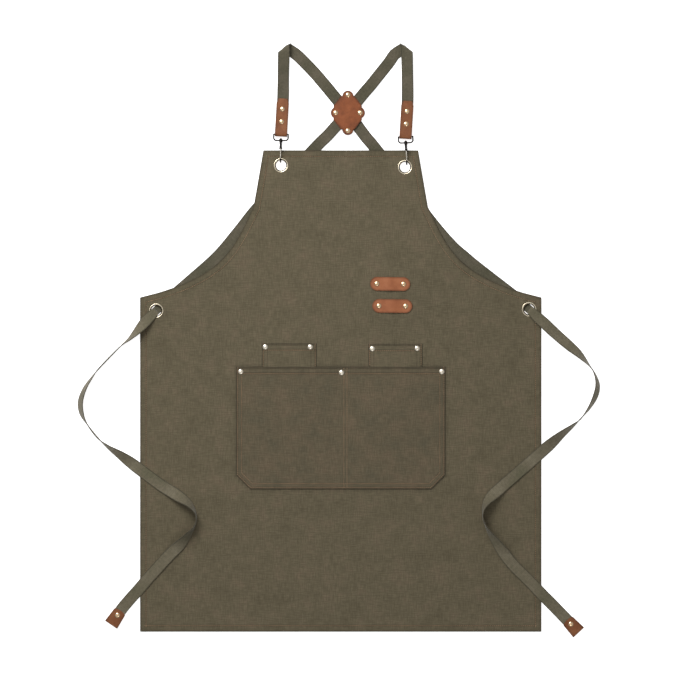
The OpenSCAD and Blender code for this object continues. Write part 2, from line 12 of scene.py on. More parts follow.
import bpy
import numpy as np
from mathutils.kdtree import KDTree
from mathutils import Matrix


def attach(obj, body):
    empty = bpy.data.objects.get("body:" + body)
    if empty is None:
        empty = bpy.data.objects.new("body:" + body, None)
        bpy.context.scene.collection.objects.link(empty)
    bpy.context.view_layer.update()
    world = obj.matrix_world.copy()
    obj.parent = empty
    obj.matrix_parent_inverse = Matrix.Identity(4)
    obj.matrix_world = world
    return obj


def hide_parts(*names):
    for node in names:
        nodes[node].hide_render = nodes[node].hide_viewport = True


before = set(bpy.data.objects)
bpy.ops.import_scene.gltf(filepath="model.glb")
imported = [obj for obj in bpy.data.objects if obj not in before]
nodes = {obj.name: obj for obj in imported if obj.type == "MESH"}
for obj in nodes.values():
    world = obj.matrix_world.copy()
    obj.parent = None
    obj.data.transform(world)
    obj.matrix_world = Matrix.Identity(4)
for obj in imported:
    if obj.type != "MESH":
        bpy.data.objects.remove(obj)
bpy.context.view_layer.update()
bpy.ops.object.select_all(action="DESELECT")


def mm(*values):
    scaled = [0.001 * v for v in values]
    return scaled[0] if len(scaled) == 1 else scaled


# %% Small helpers for objects
def only(thing):
    """Makes a thing the only one selected, and active."""
    bpy.ops.object.select_all(action="DESELECT")
    bpy.context.view_layer.objects.active = thing
    thing.select_set(True)
    return thing


def apply(thing, kind, **settings):
    """Adds a modifier and applies it."""
    only(thing)
    change = thing.modifiers.new(kind.lower(), kind)
    for key, value in settings.items():
        setattr(change, key, value)
    bpy.ops.object.modifier_apply(modifier=change.name)


def declare(piece, node=None):
    """The piece rides on the fixed body and may stand for a CAD node, which is then hidden."""
    if node:
        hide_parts(node)
    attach(piece, "root")


# %% [markdown]
# ## Camera
#
# The apron is seen from straight above, with almost no perspective. A long lens far away gives that. The
# lens is worked out from the width of floor that the picture takes in.

# %% Camera
VIEW_WIDTH = 1154.3
VIEW_CENTRE = (-2.1, -3.4)
CAMERA_HEIGHT = 6000
SENSOR = 36
bpy.ops.object.camera_add(location=mm(*VIEW_CENTRE, CAMERA_HEIGHT), rotation=(0, 0, 0))
camera = bpy.context.object
camera.name = "overhead_camera"
camera.data.sensor_width = SENSOR
camera.data.lens = SENSOR * CAMERA_HEIGHT / VIEW_WIDTH
bpy.context.scene.camera = camera
print("lens", round(camera.data.lens), "mm")

# %% [markdown]
# ## Webbing
#
# Shoulder strap and waist tie are one length of 20 mm cotton webbing on each side. It turns, folds and
# stands on its edge, so a plain sweep can't carry it. Each row of a route is a point, the roll of the
# webbing there in degrees, and the share of its full width where it is squeezed through an eyelet. A smooth
# curve through the rows carries an oval section, and a UV map holds the distance along and across, so the
# weave follows every turn.

# %% The four routes: x, y, z, roll and share of the width
WEB_WIDTH = 20
WEB_THICKNESS = 1.6
LEFT_STRAP = [
    [-101, 352, 6.4, 0, 1], [-100.6, 358, 6.4, 0, 1], [-98.4, 398, 6.4, 0, 1], [-97.9, 409, 6.4, 0, 1],
    [-97.7, 418, 6.7, -4, 1], [-97.5, 434, 8.2, -16, 1], [-97.2, 455, 10, -16, 1], [-96.8, 475, 12, -8, 1],
    [-96.6, 487, 12.95, 0, 1], [-96.4, 491.8, 11.2, 21, 1], [-95.2, 494.2, 6.95, 90, 1],
    [-92.7, 493.4, 2.7, 159, 1], [-89.2, 490.3, 0.95, 180, 1], [-75.5, 481, 0.95, 180, 1],
    [-60.5, 466.5, 0.95, 180, 1], [-42.9, 448, 1, 180, 1],
    [-25.9, 428, 2.2, 180, 1], [-14, 413.5, 2.85, 180, 1],
    [11.8, 382, 2.85, 180, 1], [33, 353.5, 2.85, 180, 1], [44, 339, 2.1, 180, 1], [58, 322.5, 1.1, 180, 1],
    [100, 268, 0.95, 180, 1], [151.2, 199.6, 0.95, 180, 1], [186.5, 158.1, 0.95, 180, 1],
    [209.8, 137.2, 0.95, 180, 1], [234.1, 117.1, 0.95, 180, 1],
    [300, 66, 0.95, 180, 1], [309.6, 57, 0.95, 180, 1], [314, 53.3, 1.2, 180, 0.85],
    [317.1, 50.6, 2.3, 180, 0.72], [320, 47.9, 4.8, 180, 0.7], [322.9, 45.1, 7.4, 180, 0.72]]
RIGHT_STRAP = [
    [110.4, 348, 6.4, 0, 1], [110.8, 354, 6.4, 0, 1], [113, 393, 6.4, 0, 1], [113.5, 404, 6.4, 0, 1],
    [113.6, 414, 6.7, 4, 1], [113.4, 434, 8.3, 14, 1], [113, 455, 10, 14, 1], [112.6, 475, 12, 7, 1],
    [112.4, 486.9, 12.95, 0, 1], [112.2, 491.6, 11.2, -21, 1], [111, 494, 6.95, -90, 1],
    [108.5, 493.2, 2.7, -159, 1], [105, 490.1, 0.95, -180, 1], [91.5, 481, 0.95, -180, 1],
    [82, 467.5, 0.95, -180, 1], [66.5, 448, 1.3, -180, 1],
    [50.6, 428, 3.6, -180, 1], [38.5, 414, 4.6, -180, 1],
    [11.8, 381.5, 4.6, -180, 1], [-12.5, 354, 4.6, -180, 1], [-24, 341.5, 3.4, -180, 1],
    [-40.5, 325.5, 1.3, -180, 1], [-88, 275, 0.95, -180, 1], [-141.5, 220, 0.95, -180, 1],
    [-174.4, 178.8, 0.95, -180, 1], [-209.3, 137.7, 0.95, -180, 1], [-253.7, 97.8, 0.95, -180, 1],
    [-296, 61.5, 0.95, -180, 1], [-303.4, 55.2, 0.95, -180, 1], [-307.6, 51.2, 1.2, -180, 0.85],
    [-310.6, 48.4, 2.3, -180, 0.72], [-313.4, 45.6, 4.8, -180, 0.7], [-316.2, 42.8, 7.4, -180, 0.72]]
LEFT_TIE = [
    [-310.6, 48.4, 2.3, 0, 0.72], [-313.4, 45.6, 4.8, 0, 0.7], [-316.2, 42.8, 7.4, 0, 0.72],
    [-320.6, 38.4, 7.3, 0, 0.82], [-325.6, 33.4, 7.6, -6, 0.88],
    [-333, 25.3, 9, -18, 0.94], [-342, 15, 9.9, -42, 1],
    [-358, -1.7, 9.9, -72, 1], [-375, -16, 10.1, -88, 1],
    [-409, -51, 10.1, -90, 1], [-421, -66, 10.1, -82, 1],
    [-434, -86, 10, -70, 1], [-441.6, -108, 9.4, -62, 1],
    [-440, -128, 9.6, -66, 1], [-430.5, -147, 10.1, -85, 1],
    [-412.7, -170, 10.1, -90, 1], [-395, -185.5, 9.9, -72, 1], [-375, -199, 7.9, -45, 1],
    [-358, -211.5, 4.6, -18, 1], [-341, -224.5, 3.2, 0, 1], [-307, -250, 3, 0, 1], [-290, -260.5, 3.3, 3, 1],
    [-273, -271, 7.2, 26, 1], [-257, -283, 11.3, 60, 1], [-247, -297, 12.2, 85, 1], [-245, -309, 12.2, 90, 1],
    [-249.5, -322, 12.2, 85, 1], [-260, -336.5, 11.1, 58, 1], [-273, -352, 7.2, 26, 1],
    [-289, -367.5, 3.4, 3, 1], [-324, -405.5, 3, 0, 1], [-341, -425.5, 3.2, 0, 1], [-358, -444.5, 3, 0, 1],
    [-372, -461.3, 3, 0, 1], [-384.7, -480, 3, 0, 1], [-388, -485, 3, 0, 1]]
RIGHT_TIE = [
    [317.1, 50.6, 2.3, 0, 0.72], [320, 47.9, 4.8, 0, 0.7], [322.9, 45.1, 7.4, 0, 0.72],
    [327.4, 40.8, 7.3, 0, 0.82], [332.4, 36.2, 7.4, 3, 0.88],
    [345, 25, 8.4, 12, 0.96], [356, 14.5, 7.2, 20, 1],
    [372.7, -0.5, 6.4, 26, 1], [390, -15.5, 7, 34, 1], [406, -29.5, 9, 54, 1], [424, -50, 10.1, 86, 1],
    [432, -64, 10.1, 80, 1], [436, -81, 9.6, 66, 1], [432.5, -99, 9.4, 62, 1], [422, -119, 9.9, 74, 1],
    [407, -138, 10.1, 88, 1], [394.8, -149, 9.9, 74, 1], [374, -165.5, 8.4, 48, 1], [348, -188.5, 4.5, 8, 1],
    [321.7, -212, 3, 0, 1], [287.7, -241.5, 3, 0, 1], [271, -256, 3.6, -4, 1], [257, -268.6, 7.2, -26, 1],
    [246.5, -281, 11.3, -60, 1], [241.5, -295, 12.2, -86, 1], [241.5, -308, 12.2, -90, 1],
    [247, -321.5, 12.2, -85, 1], [255.5, -335.5, 11.6, -64, 1], [265.5, -350, 9.6, -42, 1],
    [281, -371.5, 5, -12, 1], [296, -389.5, 3, 0, 1], [325, -418.5, 3, 0, 1], [341, -435.5, 3.2, 0, 1],
    [357, -451.5, 3, 0, 1], [382.6, -477.9, 3, 0, 1], [395.5, -491.7, 3, 0, 1], [399, -495.5, 3, 0, 1]]

# %% Section of the webbing: across and through, in millimetres, with a rounded woven edge
HALF_WEB = WEB_WIDTH / 2
FACE = WEB_THICKNESS / 2
quarter = [(HALF_WEB, 0.3), (HALF_WEB - 0.25, 0.62), (HALF_WEB - 0.9, FACE), (HALF_WEB - 2.2, FACE - 0.06),
           (HALF_WEB / 3, FACE - 0.03)]
upper = quarter + [(-x, z) for x, z in reversed(quarter)]
WEB_SECTION = np.array(upper + [(-x, -z) for x, z in upper])


def smooth_curve(rows, step):
    """Points and directions every step or so on the curve through all rows but the first and the last."""
    rows = np.array(rows, float)
    places, ways = [], []
    for a, b, c, d in zip(rows, rows[1:], rows[2:], rows[3:]):
        count = max(2, round(np.linalg.norm((c - b)[:3]) / step))
        for t in np.arange(count) / count:
            places.append(0.5 * (2 * b + (c - a) * t + (2 * a - 5 * b + 4 * c - d) * t**2
                                 + (3 * b - 3 * c + d - a) * t**3))
            ways.append(0.5 * ((c - a) + 2 * (2 * a - 5 * b + 4 * c - d) * t
                               + 3 * (3 * b - 3 * c + d - a) * t**2))
    places.append(rows[-2])
    ways.append((rows[-1] - rows[-3]) / 2)
    return np.array(places), np.array(ways)[:, :3]


def unit(v):
    return v / np.linalg.norm(v, axis=-1, keepdims=True)


def mesh_object(name, points, faces):
    made = bpy.data.meshes.new(name)
    made.from_pydata((np.asarray(points) * 0.001).tolist(), [], [tuple(map(int, f)) for f in faces])
    made.polygons.foreach_set("use_smooth", [True] * len(made.polygons))
    made.update()
    thing = bpy.data.objects.new(name, made)
    bpy.context.scene.collection.objects.link(thing)
    return thing


def tube_faces(count, ring):
    """The faces of a tube of count rings of ring points each, and its two end caps."""
    sides = [[i * ring + j, (i + 1) * ring + j, (i + 1) * ring + (j + 1) % ring, i * ring + (j + 1) % ring]
             for i in range(count - 1) for j in range(ring)]
    return sides + [list(range(ring)), [(count - 1) * ring + j for j in range(ring - 1, -1, -1)]]


def webbing(name, rows, step=2.5):
    """A length of webbing along a route, and the points of its centreline."""
    places, ways = smooth_curve(rows, step)
    tangent = unit(ways)
    side = unit(np.stack([-tangent[:, 1], tangent[:, 0], 0 * tangent[:, 0]], 1))
    up = np.cross(tangent, side)
    roll = np.radians(places[:, 3:4])
    face = np.cos(roll) * up + np.sin(roll) * side
    across = np.cross(tangent, face)
    ring = len(WEB_SECTION)
    points = (places[:, None, :3] + WEB_SECTION[None, :, :1] * across[:, None] * places[:, None, 4:5]
              + WEB_SECTION[None, :, 1:] * face[:, None])
    count = len(places)
    thing = mesh_object(name, points.reshape(-1, 3), tube_faces(count, ring))
    along = np.concatenate([[0], np.cumsum(np.linalg.norm(np.diff(places[:, :3], axis=0), axis=1))])
    weave = np.stack([np.tile(WEB_SECTION[:, 0], count), np.repeat(along, ring)], 1) * 0.001
    uv = thing.data.uv_layers.new(name="WeaveMap")
    corners = np.array([loop.vertex_index for loop in thing.data.loops])
    uv.data.foreach_set("uv", weave[corners].astype(np.float32).ravel())
    return thing, places[:, :3] * 0.001, along[-1] * 0.001


FOLD_FOOT, FOLD_CREST, FOLD_REACH = 468, 492.5, 12


def press_fold(thing, side, corner, slope):
    """Presses the outer corner of a strap's fold down onto a slanting line, as a flat fold has it."""
    for vertex in thing.data.vertices:
        x, y = 1000 * vertex.co.x, 1000 * vertex.co.y
        line = min(FOLD_CREST, corner[1] + slope * side * (corner[0] - x))
        if y > FOLD_FOOT and side * (x - corner[0]) > -FOLD_REACH:
            vertex.co.y = mm(FOLD_FOOT + (y - FOLD_FOOT) * (line - FOLD_FOOT) / (FOLD_CREST - FOLD_FOOT))


# %% Weave the two straps and the two ties
left_strap, _, left_strap_length = webbing("left_back_strap", LEFT_STRAP)
right_strap, _, right_strap_length = webbing("right_back_strap", RIGHT_STRAP)
left_tie, left_tie_line, left_tie_length = webbing("left_tie_webbing", LEFT_TIE)
right_tie, right_tie_line, right_tie_length = webbing("right_tie_webbing", RIGHT_TIE)
press_fold(left_strap, -1, (-105.5, 486), 0.66)
press_fold(right_strap, 1, (121.5, 486.5), 0.6)
for piece, node in ((left_strap, "left_shoulder_strap"), (right_strap, "right_shoulder_strap"),
                    (left_tie, "left_waist_tie"), (right_tie, "right_waist_tie")):
    declare(piece, node)
print("ties", round(left_tie_length, 3), round(right_tie_length, 3), "m; straps", round(left_strap_length, 3),
      round(right_strap_length, 3), "m")

# %% [markdown]
# ## How the canvas lies
#
# The cloth rests on its own hems, on the straps behind the bib and on the washers of the eyelets, and it
# sinks towards the floor between them. Its underside is a height field: it is held at the places where
# something is riveted through it, kept above whatever lies under it, and relaxed a little downwards, over
# and over, so that it drapes like stiff cotton.

# %% Outline of the panel: half its width at each height
SKIRT_HALF, BIB_HALF, BIB_TOP, SKIRT_BOTTOM = 341, 131.5, 318, -500
CLOTH = 1.0
HEM = 12
BIB_LEVEL = 4.3
SKIRT_LEVEL = 1.0
TOP_EYELETS = [(-101.4, 292.4), (109.1, 289.5)]
SIDE_EYELETS = [(-313.4, 45.6), (320, 47.9)]
TOOL_LOOPS = [(84, 91, -0.8), (87.5, 53.5, -0.8)]
ARMHOLE = np.array([[310, 76], [197, 110], [182, 150], [148, 222]], float)
share = np.linspace(0, 1, 25)[:, None]
armhole_curve = ((1 - share)**3 * ARMHOLE[0] + 3 * (1 - share)**2 * share * ARMHOLE[1]
                 + 3 * (1 - share) * share**2 * ARMHOLE[2] + share**3 * ARMHOLE[3])
right_edge = np.vstack([[SKIRT_HALF, SKIRT_BOTTOM], [SKIRT_HALF, 68], armhole_curve, [BIB_HALF, BIB_TOP]])
panel_outline = np.vstack([right_edge, right_edge[::-1] * [-1, 1]])


def edge_distance(x, y, outline):
    """Distance from each point to a closed outline."""
    points = np.stack([np.ravel(x), np.ravel(y)], 1)
    nearest = np.full(len(points), 1e9)
    for a, b in zip(outline, np.roll(outline, -1, axis=0)):
        way = b - a
        t = np.clip((points - a) @ way / (way @ way), 0, 1)[:, None]
        nearest = np.minimum(nearest, np.linalg.norm(points - a - t * way, axis=1))
    return nearest.reshape(np.shape(x))


# %% Settle a height field over what holds it up
CELL = 4.0
GRID_X = np.arange(-352, 353, CELL)
GRID_Y = np.arange(-512, 333, CELL)
plan_x, plan_y = np.meshgrid(GRID_X, GRID_Y)


def settle(level, support, held, weight, rounds):
    for _ in range(rounds):
        padded = np.pad(level, 1, mode="edge")
        mean = (padded[2:, 1:-1] + padded[:-2, 1:-1] + padded[1:-1, 2:] + padded[1:-1, :-2]) / 4
        level = np.where(held, level, np.maximum(support, mean - weight))
    return level


def sample(field, x, y):
    """Height of a field at any point, between its cells."""
    fx = np.clip((np.asarray(x, float) - GRID_X[0]) / CELL, 0, len(GRID_X) - 1.001)
    fy = np.clip((np.asarray(y, float) - GRID_Y[0]) / CELL, 0, len(GRID_Y) - 1.001)
    i, j = fx.astype(int), fy.astype(int)
    a, b = fx - i, fy - j
    return ((1 - a) * (1 - b) * field[j, i] + a * (1 - b) * field[j, i + 1]
            + (1 - a) * b * field[j + 1, i] + a * b * field[j + 1, i + 1])


def around(x0, x1, y0, y1):
    return (plan_x > x0) & (plan_x < x1) & (plan_y > y0) & (plan_y < y1)


# %% What the canvas rests on
LIFT, SINK = 0.1, 0.008
STEM_LEVEL = 2.8        # the cloth stays above the steel of each hook
support = np.full(plan_x.shape, LIFT)
for route in (LEFT_STRAP, RIGHT_STRAP):
    for x, y, z in smooth_curve(route, 4)[0][:, :3]:
        if y < 330:
            near = np.hypot(plan_x - x, plan_y - y) < HALF_WEB + 4
            support[near] = np.maximum(support[near], min(z, 3) + FACE + LIFT)
support += CLOTH * (edge_distance(plan_x, plan_y, panel_outline) < HEM + 3)
held = around(-184, 184, -264, -4) & ((np.abs(plan_x) < 146) | (plan_y < -44))
level = np.where(held, SKIRT_LEVEL, np.interp(plan_y, [-8, 25], [SKIRT_LEVEL, BIB_LEVEL]))
for x, y in TOP_EYELETS + SIDE_EYELETS:
    disc = np.hypot(plan_x - x, plan_y - y) < 16
    held |= disc
    level[disc] = BIB_LEVEL
    if y > 200:
        stem = around(x - 5, x + 5, y, y + 34)
        support[stem] = np.maximum(support[stem], STEM_LEVEL)
for x, y, _ in TOOL_LOOPS:
    patch = around(x - 40, x + 40, y - 15, y + 15)
    held |= patch
    level[patch] = BIB_LEVEL
underside = settle(level, support, held, SINK, 500)
ripple = 0.16 * (np.sin(plan_x / 47 + plan_y / 83) + np.sin(plan_x / 29 - plan_y / 61 + 1.3)
                 + np.sin(plan_x / 131 + plan_y / 37 + 0.6))
underside = settle(underside + np.where(held, 0, np.abs(ripple)), support, held, 0, 6)
print("canvas lies between", round(underside.min(), 2), "and", round(underside.max(), 2), "mm")

# %% [markdown]
# ## Cloth pieces
#
# A cut cloth is a grid whose rows run from edge to edge, with more rows and columns near the edges, where
# the hem turns and the stitching pulls a groove. Two copies of the grid, one cloth thickness apart, are
# closed round the rim. A point attribute marks the grooves and edges that are painted darker: partly the
# darker dye that a washed canvas keeps at its edges, and partly painted shade in the grooves, along the edges
# and round the pockets.

# %% A closed sheet between two height grids
EDGE_STEPS = np.array([0, 0.4, 1.2, 2.4, 3.2, 4, 6, 8.2, 9.2, 10, 10.8, 11.6, 13, 17])
EDGE_ZONE = 20


def graded(start, end, step):
    """Places from start to end, close together near both ends."""
    inner = np.linspace(start + EDGE_ZONE, end - EDGE_ZONE,
                        max(2, round((end - start - 2 * EDGE_ZONE) / step)) + 1)
    return np.unique(np.round(np.concatenate([start + EDGE_STEPS, inner, end - EDGE_STEPS[::-1]]), 3))


def cloth_sheet(name, x, y, low, high, seam_dye_and_shade):
    rows, columns = x.shape
    top = np.stack([x, y, high], -1).reshape(-1, 3)
    bottom = np.stack([x, y, low], -1).reshape(-1, 3)
    index = np.arange(rows * columns).reshape(rows, columns)
    quads = np.stack([index[:-1, :-1], index[:-1, 1:], index[1:, 1:], index[1:, :-1]], -1).reshape(-1, 4)
    rim = np.concatenate([index[0, :-1], index[:-1, -1], index[-1, :0:-1], index[:0:-1, 0]])
    after = np.roll(rim, -1)
    total = rows * columns
    sides = np.stack([rim, rim + total, after + total, after], -1)
    thing = mesh_object(name, np.vstack([top, bottom]),
                        np.vstack([quads, quads[:, ::-1] + total, sides]).tolist())
    # The attribute darkens the colour: some darker dye at the edges, and painted shade in grooves and along
    # edges.
    mark = thing.data.attributes.new("seam_dye_and_shade", "FLOAT", "POINT")
    mark.data.foreach_set("value", np.tile(seam_dye_and_shade.ravel(), 2).astype(np.float32))
    return thing


def groove(distance, at, width=1.1):
    return np.exp(-((distance - at) / width)**2)


def fall(distance, width):
    return np.exp(-distance / width)


# %% The canvas panel, a little raised where the hooks pass over its edge
HOOK_LIFT, HOOK_REACH = 0.35, 9
row_y = np.unique(np.concatenate([graded(SKIRT_BOTTOM, 60, 6)[:-len(EDGE_STEPS)], np.linspace(44, 68, 7),
                                  armhole_curve[:, 1], np.linspace(222, 298, 16), BIB_TOP - EDGE_STEPS]))
half_width = np.interp(row_y, right_edge[:, 1], right_edge[:, 0])
column_u = graded(-SKIRT_HALF, SKIRT_HALF, 6) / SKIRT_HALF
panel_x = half_width[:, None] * column_u[None, :]
panel_y = np.repeat(row_y[:, None], len(column_u), 1)
rim_distance = edge_distance(panel_x, panel_y, panel_outline)
HEM_STITCH = 10.2
pocket_line = np.array([[178, -50], [-178, -50], [-178, -234], [-154, -258], [154, -258], [178, -234]], float)
# Painted shadow just outside the main pocket's edge.
pocket_shade = fall(edge_distance(panel_x, panel_y, pocket_line), 1.6)
# Painted shade in the hem's stitch groove and along the cut edge, with some darker dye there, and the
# pocket's painted shadow.
panel_dye_and_shade = np.clip(groove(rim_distance, HEM_STITCH) * 0.6 + fall(rim_distance, 2)
                     + 0.5 * pocket_shade, 0, 1)
for x, y in TOP_EYELETS:
    underside += HOOK_LIFT * np.exp(-((plan_x - x) / HOOK_REACH)**2) * np.clip((plan_y - y - 12) / 6, 0, 1)
panel_low = sample(underside, panel_x, panel_y)
pucker = 0.10 * np.sin(panel_x / 1.9) * np.sin(panel_y / 2.1) * groove(rim_distance, HEM_STITCH, 3)
relief = 0.22 * groove(rim_distance, 6, 4) - 0.3 * groove(rim_distance, HEM_STITCH, 0.9) + pucker
panel_high = panel_low + CLOTH + relief - 0.28 * fall(rim_distance, 0.5)
canvas = cloth_sheet("canvas_body", panel_x, panel_y, panel_low, panel_high, panel_dye_and_shade)
print("canvas has", len(canvas.data.polygons), "faces")


# %% Punch the holes of the eyelets through cloth
def punch(thing, places, radius):
    """Round holes, cut with a cylinder through the whole thickness."""
    for x, y in places:
        bpy.ops.mesh.primitive_cylinder_add(vertices=48, radius=mm(radius), depth=mm(30),
                                            location=mm(x, y, 3))
        cutter = bpy.context.object
        apply(thing, "BOOLEAN", operation="DIFFERENCE", object=cutter, solver="EXACT")
        bpy.data.objects.remove(cutter)
    thing.select_set(False)


BORE = 9.4
WASHER = 12.35
punch(canvas, TOP_EYELETS + SIDE_EYELETS, BORE)

# %% The hem: a fold round the edge and a second layer under it
HEM_SECTION = [(0.9, 0.9), (0.35, 0.72), (0.05, 0.3), (0, 0), (0.05, -0.5), (0.35, -0.85), (0.9, -0.98),
               (11.6, -0.98), (12, -0.8), (12, -0.12), (11.6, -0.03), (1.2, -0.03)]


def dense(outline, step, clear=0):
    """A closed outline with a point every step or so. Long sides get none within clear of a corner."""
    found = []
    for a, b in zip(outline, np.roll(outline, -1, axis=0)):
        length = np.linalg.norm(b - a)
        count = max(1, round(length / step))
        shares = np.arange(count) / count
        if clear and length > 3 * clear:
            shares = np.append(0, np.linspace(clear / length, 1 - clear / length, count))
        found += [a + (b - a) * share for share in shares]
    return np.array(found)


def inward(outline):
    """Direction into a counter-clockwise outline at each point, longer at the corners, as a mitre is."""
    ahead = unit(np.roll(outline, -1, axis=0) - outline)
    behind = np.roll(ahead, 1, axis=0)
    left_a = np.stack([-ahead[:, 1], ahead[:, 0]], 1)
    left_b = np.stack([-behind[:, 1], behind[:, 0]], 1)
    return (left_a + left_b) / (1 + (left_a * left_b).sum(1, keepdims=True))


hem_line = dense(panel_outline, 6, 13)
HOOK_ROOM, HOOK_PRESS = 11, 0.3    # how near a hook the second layer is squeezed, and to what share
hem_in = inward(hem_line)
rings = []
for d, z in HEM_SECTION:
    at = hem_line + hem_in * d
    beside_hook = (at[:, 1] > 300) & (np.abs(at[:, :1] - np.array(TOP_EYELETS)[:, 0]).min(1) < HOOK_ROOM)
    rings.append(np.column_stack([at, sample(underside, at[:, 0], at[:, 1])
                                  + z * np.where(beside_hook & (z < 0), HOOK_PRESS, 1)]))
rings = np.stack(rings, 1)
stations, ring = rings.shape[:2]
hem = mesh_object("canvas_hem", rings.reshape(-1, 3),
                  [[i * ring + j, i * ring + (j + 1) % ring, (i + 1) % stations * ring + (j + 1) % ring,
                    (i + 1) % stations * ring + j] for i in range(stations) for j in range(ring)])
only(hem)
bpy.ops.object.mode_set(mode="EDIT")
bpy.ops.mesh.select_all(action="SELECT")
bpy.ops.mesh.normals_make_consistent(inside=False)
bpy.ops.object.mode_set(mode="OBJECT")
hem.select_set(False)
punch(hem, SIDE_EYELETS, WASHER)
print("hem has", len(hem.data.polygons), "faces")

# %% [markdown]
# ## Pockets
#
# A patch pocket is a cut cloth with its edges turned in, sewn down along both sides and the bottom by a
# double line of stitches, and open at the top. The tool pockets are sewn on first and the main pocket over
# them. Each one settles over what is below it, and its open cloth stands a little proud, as it does on an
# apron that has been worn.

# %% Settle one pocket and make its sheet
pocket_floor = underside + CLOTH
TOP_HEM = 13
SEWN_BAND, DIVIDER_BAND, MOUTH_BAND = 8, 6, 12      # how far seams and the stiff top hem hold the cloth down
EDGE_STITCH, INNER_STITCH, TWIN_STITCH = 2.8, 9.6, 2.6


def pocket(name, x0, x1, top, bottom, corner, floor, divider, belly):
    """floor is the height field under the pocket. Returns its sheet and the field of its upper face."""
    half, centre = (x1 - x0) / 2, (x0 + x1) / 2
    inside = np.minimum(half - np.abs(plan_x - centre), plan_y - bottom)
    sewn = (inside < SEWN_BAND) & (plan_y > bottom - SEWN_BAND)
    if divider:
        sewn |= np.abs(plan_x - divider) < DIVIDER_BAND
    mouth = np.abs(plan_y - top) < MOUTH_BAND
    along = np.clip(np.sin(np.pi * np.clip((plan_y - bottom) / (top - bottom), 0, 1)), 0, 1) ** 0.7
    across = np.abs(np.sin(np.pi * np.clip((plan_x - x0) / (x1 - x0), 0, 1) * (2 if divider else 1)))
    crown = belly * along * across
    rest = floor + LIFT
    lying = settle(np.where(sewn, floor + 0.02, rest + crown), rest, sewn, 0.004, 60)
    lying = np.where(sewn | mouth, lying, np.maximum(lying, rest + 0.7 * crown))
    lying = settle(lying, rest, sewn, 0, 8)
    row = graded(bottom, top, 5)
    column = graded(-half, half, 5) / half
    reach = np.interp(row, [bottom, bottom + corner, top], [half - corner, half, half])
    x = centre + reach[:, None] * column[None, :]
    y = np.repeat(row[:, None], len(column), 1)
    outline = np.array([[centre + half, top], [centre - half, top], [centre - half, bottom + corner],
                        [centre - half + corner, bottom], [centre + half - corner, bottom],
                        [centre + half, bottom + corner]], float)
    away = edge_distance(x, y, outline)
    low = sample(lying, x, y)
    fold = (groove(top - y, TOP_HEM - 1.5, 0.9) + groove(away, EDGE_STITCH, 0.7)
            + 0.7 * groove(away, INNER_STITCH, 0.8))
    high = low + CLOTH - 0.2 * np.clip(fold, 0, 1) - 0.3 * fall(away, 0.45)
    if divider:
        high -= 0.2 * (groove(x, divider - TWIN_STITCH, 0.9) + groove(x, divider + TWIN_STITCH, 0.9))
    # Painted shade in the stitch grooves and along the pocket's edges, with some darker dye at the edge.
    seam_dye_and_shade = np.clip(0.6 * fold + fall(away, 1.8), 0, 1)
    return cloth_sheet(name, x, y, low, high, seam_dye_and_shade), lying + CLOTH


MAIN = (-178, 178, -50, -258, 24)          # left, right, top, bottom and cut corner
LEFT_TOOL = (-134, -41, -10, -152, 8)
RIGHT_TOOL = (46.8, 139, -11, -153, 8)
left_pouch, left_top = pocket("left_tool_pouch", *LEFT_TOOL, pocket_floor, None, 0.7)
right_pouch, right_top = pocket("right_tool_pouch", *RIGHT_TOOL, pocket_floor, None, 0.7)
over_tools = np.where(around(-136, -39, -156, -8), left_top, pocket_floor)
over_tools = np.where(around(45, 141, -157, -9), right_top, over_tools)
DIVIDER = 8
main_pouch, main_top = pocket("main_pouch", *MAIN, over_tools, DIVIDER, 1.6)
print("pocket stands up to", round(float(main_top[around(-178, 178, -258, -50)].max()), 2), "mm")

# %% [markdown]
# ## Stitches
#
# The seams are sewn with a heavy reddish-brown thread, about eight stitches to the inch. Each stitch is a
# small capsule that lies along the seam and dips at both ends. They are real geometry, so they catch the
# light one by one.

# %% One stitch, and a seam of them
STITCH_LENGTH = 2.7
STITCH_PITCH = 3.3
THREAD = 0.48
ROUND = np.linspace(0, 2 * np.pi, 6, endpoint=False)
STITCH_RINGS = [(-0.5, 0.25, -0.35), (-0.36, 0.9, -0.05), (0, 1, 0.08), (0.36, 0.9, -0.05),
                (0.5, 0.25, -0.35)]
stitch_points = np.array([[s * STITCH_LENGTH, THREAD * r * np.cos(a), THREAD * r * np.sin(a) + lift * THREAD]
                          for s, r, lift in STITCH_RINGS for a in ROUND])
stitch_faces = tube_faces(len(STITCH_RINGS), len(ROUND))


def seam_line(name, lines, height, skip=()):
    """Stitches along open lines of points, lying on a height function; none where an eyelet or a rivet is."""
    points, faces = [], []
    for line in lines:
        line = np.array(line, float)
        steps = np.linalg.norm(np.diff(line, axis=0), axis=1)
        run = np.concatenate([[0], np.cumsum(steps)])
        for s in np.arange(STITCH_PITCH / 2, run[-1], STITCH_PITCH):
            x, y = np.interp(s, run, line[:, 0]), np.interp(s, run, line[:, 1])
            if any(math.hypot(x - p[0], y - p[1]) < p[2] for p in skip):
                continue
            k = min(np.searchsorted(run, s) - 1, len(steps) - 1)
            c, d = unit(line[k + 1] - line[k])
            turned = stitch_points @ np.array([[c, d, 0], [-d, c, 0], [0, 0, 1]])
            faces += [[v + len(points) * len(stitch_points) for v in f] for f in stitch_faces]
            points.append(turned + [x, y, float(height(x, y))])
    thing = mesh_object(name, np.vstack(points), faces)
    print(name, len(points), "stitches")
    return thing


def on_panel(x, y):
    return sample(underside, x, y) + CLOTH - 0.02


def closed(line):
    return np.vstack([line, line[:1]])


